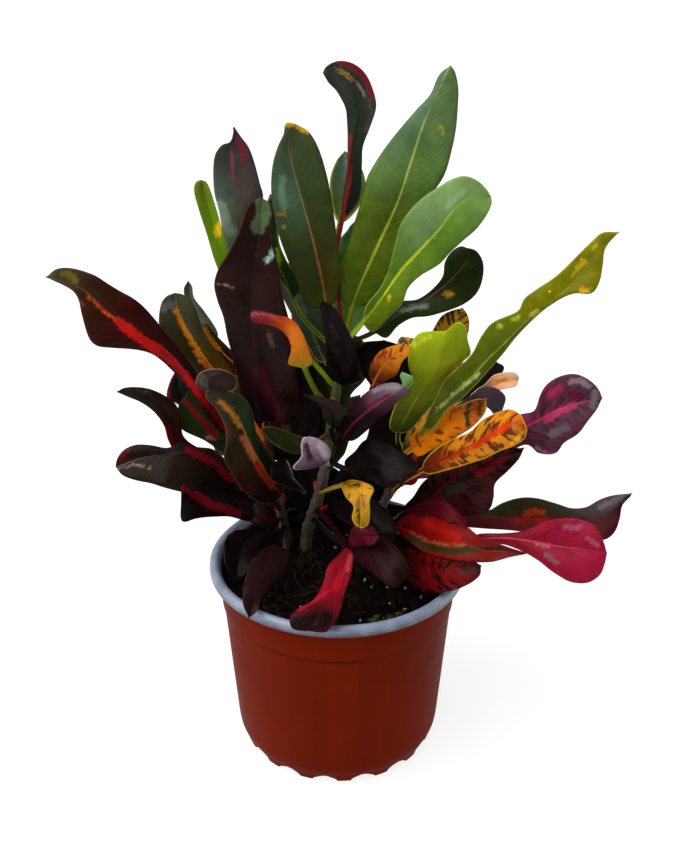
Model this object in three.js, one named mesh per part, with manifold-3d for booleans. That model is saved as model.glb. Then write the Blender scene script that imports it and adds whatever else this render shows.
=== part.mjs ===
// A young croton with many-coloured leaves in a thermoformed nursery pot.
// Millimetres, +Z up. The origin is the middle of the pot's underside, on the surface that it stands on.
// +X is to the right and +Y to the back, as the plant is seen from its best side.
import * as THREE from "three";
import { mergeVertices } from "three/addons/utils/BufferGeometryUtils.js";
import Module from "manifold-3d";

const wasm = await Module();
wasm.setup();

// ---- pot ----
const RIM_RADIUS = 65; // a 13 cm pot, measured over its rim
const POT_HEIGHT = 104;
const LIP_HEIGHT = 5.5; // the rolled rim, top to bottom
const LIP_REACH = 4.8; // how far the rim stands out from the wall
const WALL = 1.2;
const WALL_TOP_RADIUS = RIM_RADIUS - LIP_REACH;
const STEP_HEIGHT = 80; // the shoulder that keeps stacked pots from jamming
const STEP_DEPTH = 0.8;
const STEP_RADIUS = 58.4;
const FOOT_RADIUS = 50;
const CORNER_HEIGHT = 13; // where the wall starts to turn in to the foot
const CORNER_RADIUS = 53.4;
const FOOT_WIDTH = 6;
const FLOOR_RAISE = 3.4; // the floor stands this far above the table
const FEET = 16;
const FOOT_SIDES = 3; // pot sides for each foot: two run on the table, one arches over the notch
const NOTCH_HEIGHT = 3.2;
const BOSS_RADIUS = 12; // round pad in the middle of the underside, level with the feet
const DRAIN_HOLES = 6;
const DRAIN_RADIUS = 4;
const DRAIN_CIRCLE = 30;

// ---- potting mix ----
const MIX_TOP = 91;
const MIX_SIDES = 24;
const MIX_GAP = 0.45; // to the pot's wall, so that no corner touches it
const SEAT_GAP = 0.3;
const MIX_RINGS = 5;
const CLOD_HEIGHT = 1.6;

// ---- stems ----
const STEM_SIDES = 8;
const STEM_STEPS = 9;
const ROOTED_DEPTH = 28; // how far a stem goes straight down from the start of its line
const HOLE_CLEARANCE = 0.4;

// ---- leaves ----
const STALK_HALF_WIDTH = 1.1;
const RIB_THICKNESS = 1.9;
const EDGE_THICKNESS = 0.8;
const STALK_ROWS = 2;
const BLADE_ROWS = 9;
const WAVE_LENGTH = 36;

// Each stem: the line of its middle from its foot to its growing tip, and its radius at both ends.
const STEMS = {
  centre_stem: {
    line: [[-17, 26, 95], [-16, 25, 104], [-9, 20, 130], [-3, 13, 172], [4, 8, 222]],
    foot: 3.2,
    tip: 1.8,
  },
  left_stem: {
    line: [[-27, 28, 95], [-28, 27, 102], [-30, 22, 118], [-33, 14, 145], [-35, 8, 172]],
    foot: 2.6,
    tip: 1.7,
  },
  right_stem: {
    line: [[12, 14, 95], [13, 13, 102], [19, 9, 118], [27, 4, 142], [33, 1, 166]],
    foot: 2.7,
    tip: 1.7,
  },
};

// Each leaf, in the order in which it stands on its stem from the top down.
// at: height of its root. by: points that its midrib passes, the last is its tip.
// stalk: length of its bare stalk, 14 where none is given. wide: its greatest width.
// taper: how slowly it widens from its base and narrows to its tip, 1 is straight and 0.3 is blunt.
// roll: turn about its midrib at the root, twist: further turn to the tip, fold: rise of each half,
// all in degrees. wave: height of its edges' waves.
// facing: azimuth that its underside faces, where its line doesn't give it.
const LEAVES = {
  centre_stem: [
    { name: "dark_crest", at: 216, wide: 20, taper: [2.2, 0.5],
      roll: -38, twist: 10, fold: 22, wave: 0.6, facing: 80,
      by: [[6, 14, 264], [7, 20, 297], [12, 13, 322], [6, -1, 341], [-5, -12, 339]] },
    { name: "teal_back", at: 218, wide: 20, taper: [0.7, 0.5],
      roll: 0, twist: 10, fold: 16, wave: 0.8, facing: -90,
      by: [[3, 24, 255], [4, 32, 294]] },
    { name: "green_blade", at: 220, wide: 30, taper: [0.9, 0.95],
      roll: 4, twist: 0, fold: 14, wave: 0.8, facing: 80,
      by: [[19, 16, 258], [35, 22, 299], [50, 22, 337]] },
    { name: "green_spoon", at: 214, wide: 25, taper: [0.9, 0.35],
      roll: 10, twist: 4, fold: 12, wave: 0.7, facing: 75,
      by: [[25, 4, 249], [44, 2, 271], [67, 0, 294]] },
    { name: "green_upright", at: 212, wide: 26, taper: [0.55, 0.4],
      roll: 0, twist: 4, fold: 13, wave: 0.8, facing: 96,
      by: [[-6, 8, 244], [-14, 8, 281], [-19, 10, 315]] },
    { name: "lime_strap", at: 190, wide: 8, taper: [0.3, 0.25],
      roll: 0, twist: 0, fold: 10, wave: 0.5, facing: 100,
      by: [[-22, 26, 212], [-47, 36, 232], [-64, 38, 285]] },
    { name: "grey_back", at: 208, wide: 13, taper: [0.7, 0.5],
      roll: 0, twist: 0, fold: 16, wave: 0.8, facing: -90,
      by: [[-16, 18, 232], [-28, 22, 258], [-26, 24, 280]] },
    { name: "teal_under", at: 196, wide: 15, taper: [0.7, 0.6],
      roll: 0, twist: 0, fold: 14, wave: 0.8, facing: -90,
      by: [[-6, 16, 205], [-13, 22, 226], [-21, 24, 249]] },
    { name: "orange_arch", at: 185, stalk: 42, wide: 14, taper: [0.5, 0.7],
      roll: -20, twist: 0, fold: 16, wave: 0.8, facing: 200,
      by: [[-7, -10, 200], [-13, -21, 219], [-22, -27, 238], [-36, -31, 240]] },
    { name: "dark_bud", at: 205, wide: 14, taper: [0.8, 0.5],
      roll: 0, twist: 0, fold: 22, wave: 0.6, facing: 90,
      by: [[2, -14, 212], [0, -22, 228], [-4, -24, 246]] },
    { name: "right_arch", at: 215, wide: 24, taper: [1.8, 0.4],
      roll: 40, twist: 10, fold: 18, wave: 1,
      by: [[21, 8, 229], [41, 14, 233], [55, 18, 242], [60, 22, 256]] },
    { name: "flame_small", at: 200, wide: 17, taper: [0.8, 0.5],
      roll: 60, twist: 10, fold: 18, wave: 1,
      by: [[10, -16, 203], [18, -26, 211], [31, -34, 228]] },
    { name: "magenta_rib", at: 168, wide: 20, taper: [0.8, 0.5],
      roll: 50, twist: 0, fold: 18, wave: 1.2,
      by: [[4, -10, 176], [14, -28, 191], [29, -38, 212]] },
    { name: "plum_low", at: 150, wide: 24, taper: [0.8, 0.5],
      roll: 30, twist: 0, fold: 16, wave: 1.4,
      by: [[4, -6, 156], [16, -22, 167], [38, -42, 174]] },
    { name: "lilac_small", at: 150, wide: 15, taper: [0.9, 0.5],
      roll: 0, twist: 0, fold: 20, wave: 0.8,
      by: [[-8, -4, 154], [-10, -20, 161], [-14, -38, 183]] },
    { name: "moss_small", at: 165, wide: 10, taper: [0.8, 0.5],
      roll: -40, twist: 0, fold: 16, wave: 0.8,
      by: [[-12, -2, 170], [-24, -14, 175], [-35, -22, 184]] },
    { name: "golden_curl", at: 128, wide: 15, taper: [0.9, 0.5],
      roll: 20, twist: 40, fold: 20, wave: 1.6,
      by: [[2, -6, 140], [9, -24, 149], [19, -36, 154], [16, -45, 144]] },
    { name: "red_drape", at: 118, wide: 17, taper: [0.9, 0.4],
      roll: -10, twist: -20, fold: 24, wave: 1,
      by: [[0, -4, 122], [6, -36, 126], [-2, -60, 121], [-15, -74, 110]] },
    { name: "maroon_low", at: 112, wide: 20, taper: [0.8, 0.5],
      roll: 20, twist: 0, fold: 16, wave: 1.2,
      by: [[6, -4, 116], [20, -26, 124], [32, -46, 116]] },
    { name: "back_green", at: 200, wide: 26, taper: [0.9, 0.6],
      roll: 0, twist: 10, fold: 14, wave: 1.2,
      by: [[8, 40, 228], [16, 66, 262]] },
    { name: "back_plum", at: 185, wide: 26, taper: [0.9, 0.6],
      roll: 10, twist: 10, fold: 14, wave: 1.4,
      by: [[-6, 45, 205], [-14, 80, 212], [-18, 102, 196]] },
    { name: "back_flame", at: 165, wide: 24, taper: [0.9, 0.5],
      roll: -10, twist: -10, fold: 16, wave: 1.4,
      by: [[20, 48, 182], [38, 82, 190], [48, 102, 172]] },
    { name: "back_dark", at: 145, wide: 24, taper: [0.9, 0.6],
      roll: 0, twist: 14, fold: 14, wave: 1.6,
      by: [[2, 55, 152], [0, 90, 150], [-4, 114, 132]] },
    { name: "back_crimson", at: 125, wide: 22, taper: [0.9, 0.5],
      roll: 14, twist: -10, fold: 16, wave: 1.4,
      by: [[-16, 60, 130], [-26, 92, 122], [-30, 110, 102]] },
    { name: "back_low", at: 112, wide: 22, taper: [0.9, 0.6],
      roll: -10, twist: 12, fold: 14, wave: 1.4,
      by: [[18, 58, 120], [30, 86, 116], [36, 104, 98]] },
    { name: "inner_dark", at: 172, wide: 16, taper: [0.8, 0.5],
      roll: 0, twist: 0, fold: 18, wave: 0.8, facing: -120,
      by: [[-2, -8, 180], [-4, -24, 196], [-14, -34, 206]] },
    { name: "inner_wine", at: 132, wide: 18, taper: [0.9, 0.5],
      roll: 30, twist: 0, fold: 16, wave: 1.4,
      by: [[6, -4, 138], [18, -14, 144], [34, -26, 140]] },
  ],
  left_stem: [
    { name: "twisted_spear", at: 171, wide: 21, taper: [1.6, 0.6],
      roll: 0, twist: -8, fold: 20, wave: 1.2, facing: 96,
      by: [[-37, 12, 225], [-41, 10, 262], [-44, 7, 292], [-45, 8, 314]] },
    { name: "purple_sail", at: 168, wide: 34, taper: [0.75, 1],
      roll: 0, twist: -10, fold: 12, wave: 2, facing: 95,
      by: [[-30, -4, 192], [-37, -12, 238], [-38, -9, 268], [-31, -2, 286]] },
    { name: "red_rib_long", at: 150, wide: 27, taper: [2.2, 0.8],
      roll: -50, twist: 0, fold: 14, wave: 1.8,
      by: [[-53, -2, 174], [-78, -10, 211], [-106, -8, 241], [-128, -4, 253]] },
    { name: "orange_rib", at: 158, wide: 28, taper: [0.9, 0.4],
      roll: -30, twist: 0, fold: 14, wave: 1.4, facing: 150,
      by: [[-47, 16, 182], [-65, 15, 212], [-77, 14, 237]] },
    { name: "brown_flame", at: 164, wide: 18, taper: [0.9, 0.5],
      roll: -10, twist: 0, fold: 16, wave: 1, facing: 150,
      by: [[-42, 30, 190], [-52, 33, 205], [-63, 34, 218]] },
    { name: "rolled_tip", at: 120, wide: 24, taper: [1, 0.5],
      roll: -30, twist: 20, fold: 26, wave: 1, facing: 180,
      by: [[-30, 2, 140], [-36, -14, 162], [-43, -22, 191], [-54, -24, 206], [-61, -27, 208]] },
    { name: "narrow_curl", at: 130, wide: 12, taper: [0.8, 0.5],
      roll: -40, twist: 0, fold: 20, wave: 0.8,
      by: [[-52, 12, 142], [-69, 2, 153], [-79, 0, 170], [-86, 0, 187], [-101, -4, 195]] },
    { name: "back_tip", at: 140, wide: 14, taper: [0.9, 0.5],
      roll: -30, twist: 0, fold: 16, wave: 1,
      by: [[-52, 28, 148], [-70, 34, 160], [-83, 36, 186]] },
    { name: "green_under", at: 135, wide: 20, taper: [0.9, 0.5],
      roll: 130, twist: 0, fold: 14, wave: 1,
      by: [[-44, 16, 148], [-56, 12, 163], [-72, 12, 185]] },
    { name: "lobed_dark", at: 116, wide: 21, taper: [1, 0.4],
      roll: -40, twist: 0, fold: 16, wave: 1.8,
      by: [[-34, 8, 134], [-50, -16, 153], [-74, -23, 167], [-100, -25, 166]] },
    { name: "striped_dark", at: 110, wide: 20, taper: [0.8, 0.3],
      roll: -40, twist: 0, fold: 16, wave: 1.4,
      by: [[-32, 4, 122], [-44, -24, 137], [-60, -35, 149], [-74, -40, 147]] },
    { name: "maroon_drape", at: 106, wide: 16, taper: [0.9, 0.5],
      roll: 10, twist: 0, fold: 20, wave: 1.2,
      by: [[-28, 4, 112], [-29, -26, 120], [-39, -45, 115], [-42, -52, 101]] },
    { name: "left_back_high", at: 165, wide: 24, taper: [0.9, 0.5],
      roll: 0, twist: 10, fold: 14, wave: 1.2,
      by: [[-39, 42, 200], [-43, 64, 230], [-45, 78, 250]] },
    { name: "left_back_mid", at: 150, wide: 24, taper: [0.9, 0.5],
      roll: 0, twist: 12, fold: 16, wave: 1.4,
      by: [[-50, 60, 166], [-64, 88, 168], [-70, 106, 150]] },
    { name: "left_back_low", at: 125, wide: 22, taper: [0.9, 0.5],
      roll: 6, twist: -12, fold: 16, wave: 1.4,
      by: [[-45, 58, 136], [-60, 88, 128], [-66, 104, 108]] },
    { name: "left_side_low", at: 108, wide: 20, taper: [0.9, 0.5],
      roll: -6, twist: 12, fold: 14, wave: 1.4,
      by: [[-50, 40, 116], [-72, 60, 108], [-84, 72, 96]] },
    { name: "inner_plum", at: 140, wide: 20, taper: [0.9, 0.5],
      roll: -20, twist: 0, fold: 16, wave: 1.2, facing: 210,
      by: [[-24, -4, 148], [-22, -20, 158], [-30, -34, 164]] },
    { name: "low_shadow", at: 100, wide: 18, taper: [0.9, 0.5],
      roll: -20, twist: 0, fold: 16, wave: 1.2,
      by: [[-44, 10, 108], [-60, -4, 118], [-72, -14, 112]] },
  ],
  right_stem: [
    { name: "lime_fold", at: 160, wide: 28, taper: [0.8, 0.3],
      roll: 10, twist: 20, fold: 20, wave: 1.2, facing: 60,
      by: [[34, -8, 180], [43, -16, 207], [51, -22, 233]] },
    { name: "blotched_tip", at: 164, wide: 16, taper: [0.8, 0.5],
      roll: 0, twist: 0, fold: 16, wave: 1, facing: 80,
      by: [[40, 6, 180], [50, 10, 203], [57, 12, 230]] },
    { name: "long_lime", at: 158, wide: 15, taper: [0.4, 0.35],
      roll: 40, twist: 10, fold: 16, wave: 2.4,
      by: [[42, -16, 173], [52, -25, 193], [79, -31, 227], [103, -28, 253], [121, -20, 275]] },
    { name: "pale_orange", at: 162, wide: 13, taper: [0.8, 0.4],
      roll: 40, twist: 0, fold: 14, wave: 0.8,
      by: [[48, 8, 176], [66, 14, 186], [90, 20, 194]] },
    { name: "amber_small", at: 150, wide: 22, taper: [0.8, 0.5],
      roll: 55, twist: 0, fold: 18, wave: 1.2,
      by: [[42, -6, 174], [58, -17, 192], [74, -24, 204]] },
    { name: "amber_broad", at: 138, wide: 24, taper: [0.9, 0.45],
      roll: 58, twist: 0, fold: 14, wave: 1.2,
      by: [[33, -8, 150], [46, -25, 168], [65, -38, 186], [85, -46, 199]] },
    { name: "magenta_spoon", at: 142, wide: 28, taper: [1.8, 0.4],
      roll: 50, twist: 0, fold: 14, wave: 1.2,
      by: [[46, 4, 148], [68, 0, 155], [86, -4, 168], [104, -8, 185], [124, -10, 198]] },
    { name: "crimson_behind", at: 125, wide: 24, taper: [0.9, 0.5],
      roll: 55, twist: 0, fold: 14, wave: 1.2,
      by: [[35, -4, 140], [54, -20, 156], [84, -30, 169]] },
    { name: "long_dark", at: 120, wide: 19, taper: [1.4, 0.5],
      roll: 60, twist: 0, fold: 14, wave: 1.4,
      by: [[50, 8, 123], [83, 6, 123], [112, 6, 121], [131, 5, 123], [147, 4, 135]] },
    { name: "crimson_spoon", at: 110, wide: 30, taper: [2.4, 0.4],
      roll: 50, twist: 0, fold: 12, wave: 1,
      by: [[34, -8, 120], [58, -24, 129], [80, -36, 136], [101, -46, 138], [122, -56, 134]] },
    { name: "olive_band", at: 104, wide: 17, taper: [0.9, 0.5],
      roll: 50, twist: 0, fold: 14, wave: 1.2,
      by: [[28, -10, 118], [42, -24, 132], [60, -37, 139], [83, -52, 137]] },
    { name: "low_crimson", at: 98, wide: 24, taper: [0.9, 0.4],
      roll: 30, twist: 0, fold: 14, wave: 1.4,
      by: [[24, -4, 104], [42, -24, 112], [58, -39, 112], [72, -46, 118]] },
    { name: "right_back_mid", at: 150, wide: 24, taper: [0.9, 0.5],
      roll: 0, twist: -10, fold: 16, wave: 1.4,
      by: [[52, 50, 168], [70, 78, 176], [78, 98, 160]] },
    { name: "right_back_low", at: 125, wide: 22, taper: [0.9, 0.5],
      roll: 0, twist: 12, fold: 16, wave: 1.4,
      by: [[46, 54, 136], [62, 86, 128], [68, 104, 110]] },
    { name: "right_side_low", at: 110, wide: 20, taper: [0.9, 0.5],
      roll: 6, twist: -10, fold: 14, wave: 1.4,
      by: [[60, 40, 114], [90, 62, 108], [106, 74, 96]] },
    { name: "inner_bronze", at: 130, wide: 20, taper: [0.9, 0.5],
      roll: 40, twist: 0, fold: 16, wave: 1.2,
      by: [[34, -6, 140], [48, -14, 148], [66, -18, 144]] },
  ],
};

const STEM_COLOURS = { centre_stem: "#3c5222", left_stem: "#35171f", right_stem: "#98242c" };

const degrees = THREE.MathUtils.degToRad;
const points = (list) => list.map((p) => new THREE.Vector3(...p));

// A closed mesh as a manifold solid.
function solid(geometry) {
  const bare = geometry.clone();
  bare.deleteAttribute("normal");
  bare.deleteAttribute("uv");
  const merged = mergeVertices(bare, 1e-4);
  return new wasm.Manifold(
    new wasm.Mesh({
      numProp: 3,
      vertProperties: merged.attributes.position.array,
      triVerts: new Uint32Array(merged.index.array),
    }),
  );
}

// A manifold solid as a named mesh with a plain finish.
function mesh(name, made, colour, roughness) {
  const { vertProperties, triVerts } = made.getMesh();
  const geometry = new THREE.BufferGeometry()
    .setAttribute("position", new THREE.BufferAttribute(new Float32Array(vertProperties), 3))
    .setIndex(new THREE.BufferAttribute(new Uint32Array(triVerts), 1));
  geometry.computeVertexNormals();
  const node = new THREE.Mesh(geometry, new THREE.MeshStandardMaterial({ color: colour, roughness }));
  node.name = name;
  return node;
}

// Rows of points, each a closed loop of the same length, skinned into one closed body with flat ends.
function skin(rows) {
  const around = rows[0].length;
  const at = (row, k) => row * around + (k % around);
  const faces = [];
  for (let row = 0; row + 1 < rows.length; row++)
    for (let k = 0; k < around; k++) {
      faces.push(at(row, k), at(row, k + 1), at(row + 1, k + 1));
      faces.push(at(row, k), at(row + 1, k + 1), at(row + 1, k));
    }
  const last = rows.length - 1;
  for (let k = 1; k + 1 < around; k++) {
    faces.push(at(0, 0), at(0, k + 1), at(0, k));
    faces.push(at(last, 0), at(last, k), at(last, k + 1));
  }
  const geometry = new THREE.BufferGeometry().setFromPoints(rows.flat());
  return geometry.setIndex(faces);
}

// The line through the given points, smooth and without overshoot.
const smooth = (list) => new THREE.CatmullRomCurve3(points(list), false, "centripetal");

// ---- pot ----

// The wall's radius inside the pot at a height above its floor.
function innerRadius(z) {
  const rise = (z - CORNER_HEIGHT) / (STEP_HEIGHT - CORNER_HEIGHT);
  return CORNER_RADIUS + (STEP_RADIUS - CORNER_RADIUS) * rise - WALL;
}

// The section runs from the middle of the underside out to the feet, up the outside, over the rim and
// down the inside.
function potSection() {
  const floor = FLOOR_RAISE + WALL;
  const rimUnder = POT_HEIGHT - LIP_HEIGHT;
  return [
    [0, 0],
    [BOSS_RADIUS, 0],
    [BOSS_RADIUS + 1.5, FLOOR_RAISE],
    [FOOT_RADIUS - FOOT_WIDTH - 1.5, FLOOR_RAISE],
    [FOOT_RADIUS - FOOT_WIDTH, 0],
    [FOOT_RADIUS, 0],
    [FOOT_RADIUS + 1.2, NOTCH_HEIGHT + 1],
    [CORNER_RADIUS - 0.6, CORNER_HEIGHT * 0.62],
    [CORNER_RADIUS, CORNER_HEIGHT],
    [STEP_RADIUS, STEP_HEIGHT],
    [STEP_RADIUS + STEP_DEPTH, STEP_HEIGHT + 1],
    [WALL_TOP_RADIUS, rimUnder],
    [RIM_RADIUS - 0.8, rimUnder - 0.6],
    [RIM_RADIUS, rimUnder + 0.6],
    [RIM_RADIUS - 0.3, POT_HEIGHT - 1],
    [RIM_RADIUS - 2, POT_HEIGHT],
    [WALL_TOP_RADIUS + 0.8, POT_HEIGHT - 0.4],
    [WALL_TOP_RADIUS - WALL, rimUnder + 2],
    [STEP_RADIUS + STEP_DEPTH - WALL, STEP_HEIGHT + 1],
    [innerRadius(STEP_HEIGHT), STEP_HEIGHT - 1],
    [innerRadius(CORNER_HEIGHT), CORNER_HEIGHT],
    [FOOT_RADIUS - 1.5, floor + 2],
    [FOOT_RADIUS - 4, floor],
    [0, floor],
  ];
}

// Between two feet the foot's edge arches up over a notch, which lets water run out from under the floor.
function pot() {
  const sides = FEET * FOOT_SIDES;
  const section = potSection().map(([r, z]) => new THREE.Vector2(r, z));
  const lathe = new THREE.LatheGeometry(section, sides).rotateX(Math.PI / 2);
  const place = lathe.getAttribute("position");
  for (let i = 0; i < place.count; i++) {
    const side = Math.floor(i / section.length) % FOOT_SIDES;
    const onFoot = i % section.length === 4 || i % section.length === 5;
    if (onFoot && side === FOOT_SIDES - 1) place.setZ(i, NOTCH_HEIGHT);
  }
  let made = solid(lathe);
  for (let hole = 0; hole < DRAIN_HOLES; hole++) {
    const turn = (2 * Math.PI * hole) / DRAIN_HOLES;
    const drill = new THREE.CylinderGeometry(DRAIN_RADIUS, DRAIN_RADIUS, 4 * FLOOR_RAISE, 10);
    drill.rotateX(Math.PI / 2);
    drill.translate(DRAIN_CIRCLE * Math.cos(turn), DRAIN_CIRCLE * Math.sin(turn), FLOOR_RAISE);
    made = made.subtract(solid(drill));
  }
  return mesh("pot", made, "#8a3a22", 0.45);
}

// ---- potting mix ----

// Soft clods: the mix's surface rises and falls by crossing waves.
function mixHeight(x, y) {
  const clods = Math.sin(0.21 * x + 0.8) * Math.cos(0.17 * y) + 0.5 * Math.sin(0.11 * (x + 2 * y) + 2);
  return MIX_TOP + CLOD_HEIGHT * clods;
}

function pottingMix() {
  const wallRadius = (z) => innerRadius(z) - MIX_GAP;
  const floor = FLOOR_RAISE + WALL + SEAT_GAP;
  const shoulder = STEP_HEIGHT - 1.5;
  const section = [
    [0, floor],
    [FOOT_RADIUS - 5, floor],
    [FOOT_RADIUS - 2.5, floor + 2.5],
    [wallRadius(CORNER_HEIGHT), CORNER_HEIGHT],
    [wallRadius(shoulder), shoulder],
  ];
  for (let ring = MIX_RINGS; ring >= 0; ring--)
    section.push([(wallRadius(shoulder) * ring) / MIX_RINGS, MIX_TOP]);
  const lathe = new THREE.LatheGeometry(
    section.map(([r, z]) => new THREE.Vector2(r, z)),
    MIX_SIDES,
  ).rotateX(Math.PI / 2);
  const place = lathe.getAttribute("position");
  for (let i = 0; i < place.count; i++)
    if (place.getZ(i) > STEP_HEIGHT) place.setZ(i, mixHeight(place.getX(i), place.getY(i)));
  let made = solid(lathe);
  for (const stem of Object.values(STEMS)) {
    const [x, y] = stem.line[0];
    const depth = ROOTED_DEPTH + SEAT_GAP;
    const top = MIX_TOP + 3 * CLOD_HEIGHT;
    const bottom = stem.line[0][2] - depth;
    const hole = new THREE.CylinderGeometry(1, 1, top - bottom, 2 * STEM_SIDES).rotateX(Math.PI / 2);
    hole.scale(stem.foot + HOLE_CLEARANCE, stem.foot + HOLE_CLEARANCE, 1);
    hole.translate(x, y, (top + bottom) / 2);
    made = made.subtract(solid(hole));
  }
  return mesh("potting_mix", made, "#1f1a15", 1);
}

// ---- stems ----

// A tapering round stem: straight down into the mix, then along its line to its tip.
function stemRod(stem) {
  const [x, y, z] = stem.line[0];
  const curve = smooth(stem.line);
  const middles = [new THREE.Vector3(x, y, z - ROOTED_DEPTH), ...curve.getSpacedPoints(STEM_STEPS)];
  const rows = middles.map((middle, row) => {
    const t = Math.max(0, row - 1) / STEM_STEPS;
    const along = row === 0 || row === 1 ? new THREE.Vector3(0, 0, 1) : curve.getTangentAt(t);
    const across = new THREE.Vector3(0, 1, 0).cross(along).normalize();
    const forth = along.clone().cross(across);
    const radius = stem.foot + (stem.tip - stem.foot) * t;
    return Array.from({ length: STEM_SIDES }, (_, k) => {
      const turn = (2 * Math.PI * k) / STEM_SIDES;
      return middle
        .clone()
        .addScaledVector(across, radius * Math.cos(turn))
        .addScaledVector(forth, radius * Math.sin(turn));
    });
  });
  return solid(skin(rows));
}

// The point of a stem's middle line at a height.
function onStem(stem, height) {
  const line = smooth(stem.line).getSpacedPoints(60);
  const above = Math.max(1, line.findIndex((p) => p.z >= height));
  const [low, high] = [line[above - 1], line[above]];
  return low.clone().lerp(high, (height - low.z) / (high.z - low.z));
}

// ---- leaves ----

// A blade's half width: it grows from its base as v^a and shrinks to its tip as (1-v)^b, and is 1 where
// the blade is widest.
function outline(v, [a, b]) {
  const widest = a / (a + b);
  return (v / widest) ** a * ((1 - v) / (1 - widest)) ** b;
}

// A leaf is a grid of rows along its midrib and columns across it, u from -1 to 1, on an upper and a lower
// face that are split alike. Its sides rise from the midrib as a shallow V, and its edges wave.
function leafSolid(leaf, stem) {
  const curve = smooth([onStem(stem, leaf.at).toArray(), ...leaf.by]);
  const length = curve.getLength();
  const stalk = (leaf.stalk ?? 14) / length;
  const chord = curve.getPoint(1).sub(curve.getPoint(0));
  const facing = leaf.facing === undefined ? Math.atan2(chord.y, chord.x) : degrees(leaf.facing);
  const level = new THREE.Vector3(-Math.sin(facing), Math.cos(facing), 0);
  const waves = Math.max(1, Math.round((length * (1 - stalk)) / WAVE_LENGTH));
  const places = [];
  for (let row = 0; row < STALK_ROWS; row++) places.push((stalk * row) / STALK_ROWS);
  for (let row = 0; row <= BLADE_ROWS; row++)
    places.push(stalk + (1 - stalk) * (1 - (1 - row / BLADE_ROWS) ** 1.3));
  const columns = [-1, 0, 1];
  const upper = [];
  const lower = [];
  for (const place of places) {
    const v = THREE.MathUtils.clamp((place - stalk) / (1 - stalk), 0, 1);
    const middle = curve.getPointAt(Math.min(place, 1));
    const along = curve.getTangentAt(Math.min(place, 1));
    const side = level.clone().addScaledVector(along, -level.dot(along)).normalize();
    side.applyAxisAngle(along, degrees(leaf.roll + leaf.twist * place));
    const up = along.clone().cross(side);
    const shape = outline(v, leaf.taper);
    const half = Math.max(STALK_HALF_WIDTH * (1 - 0.5 * v), (leaf.wide / 2) * shape);
    const fold = degrees(leaf.fold) * Math.min(1, 4 * v);
    const rib = RIB_THICKNESS + (EDGE_THICKNESS - RIB_THICKNESS) * v;
    for (const u of columns) {
      const wave = leaf.wave * Math.sin(2 * Math.PI * waves * v + (u > 0 ? 0 : 2.1)) * shape * u * u;
      const rise = Math.abs(u) * half * Math.sin(fold) + wave;
      const thick = rib + (EDGE_THICKNESS - rib) * Math.abs(u) * Math.min(1, 8 * v);
      const on = middle.clone().addScaledVector(side, u * half * Math.cos(fold));
      upper.push(on.clone().addScaledVector(up, rise + thick / 2));
      lower.push(on.clone().addScaledVector(up, rise - thick / 2));
    }
  }
  return solid(slab(upper, lower, columns.length));
}

// Two like grids of points, an upper and a lower, closed round their edge.
function slab(upper, lower, across) {
  const rows = upper.length / across;
  const top = (row, column) => row * across + column;
  const bottom = (row, column) => upper.length + top(row, column);
  const faces = [];
  const quad = (a, b, c, d) => faces.push(a, b, c, a, c, d);
  for (let row = 0; row + 1 < rows; row++) {
    for (let column = 0; column + 1 < across; column++) {
      quad(top(row, column), top(row + 1, column), top(row + 1, column + 1), top(row, column + 1));
      const [a, b] = [bottom(row, column), bottom(row, column + 1)];
      const [c, d] = [bottom(row + 1, column + 1), bottom(row + 1, column)];
      faces.push(a, c, d, a, b, c);
    }
    const end = across - 1;
    quad(bottom(row, 0), bottom(row + 1, 0), top(row + 1, 0), top(row, 0));
    quad(top(row, end), top(row + 1, end), bottom(row + 1, end), bottom(row, end));
  }
  for (let column = 0; column + 1 < across; column++) {
    quad(bottom(0, column), top(0, column), top(0, column + 1), bottom(0, column + 1));
    const last = rows - 1;
    quad(bottom(last, column), bottom(last, column + 1), top(last, column + 1), top(last, column));
  }
  return new THREE.BufferGeometry().setFromPoints([...upper, ...lower]).setIndex(faces);
}

// A stem with every leaf that grows on it, as one body.
function leafyStem(name) {
  const stem = STEMS[name];
  let made = stemRod(stem);
  for (const leaf of LEAVES[name]) made = made.add(leafSolid(leaf, stem));
  return mesh(name, made, STEM_COLOURS[name], 0.4);
}

const plant = new THREE.Group();
plant.add(pot(), pottingMix(), ...Object.keys(STEMS).map(leafyStem));
export default plant;
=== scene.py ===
"""A young croton with many-coloured leaves in a terracotta nursery pot, dressed round its fixed solids.

Points, sizes and places are millimetres in the tables and become metres when a mesh is made.
+X is to the right and +Y to the back, as the plant is seen from its best side.
"""

import math

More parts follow.
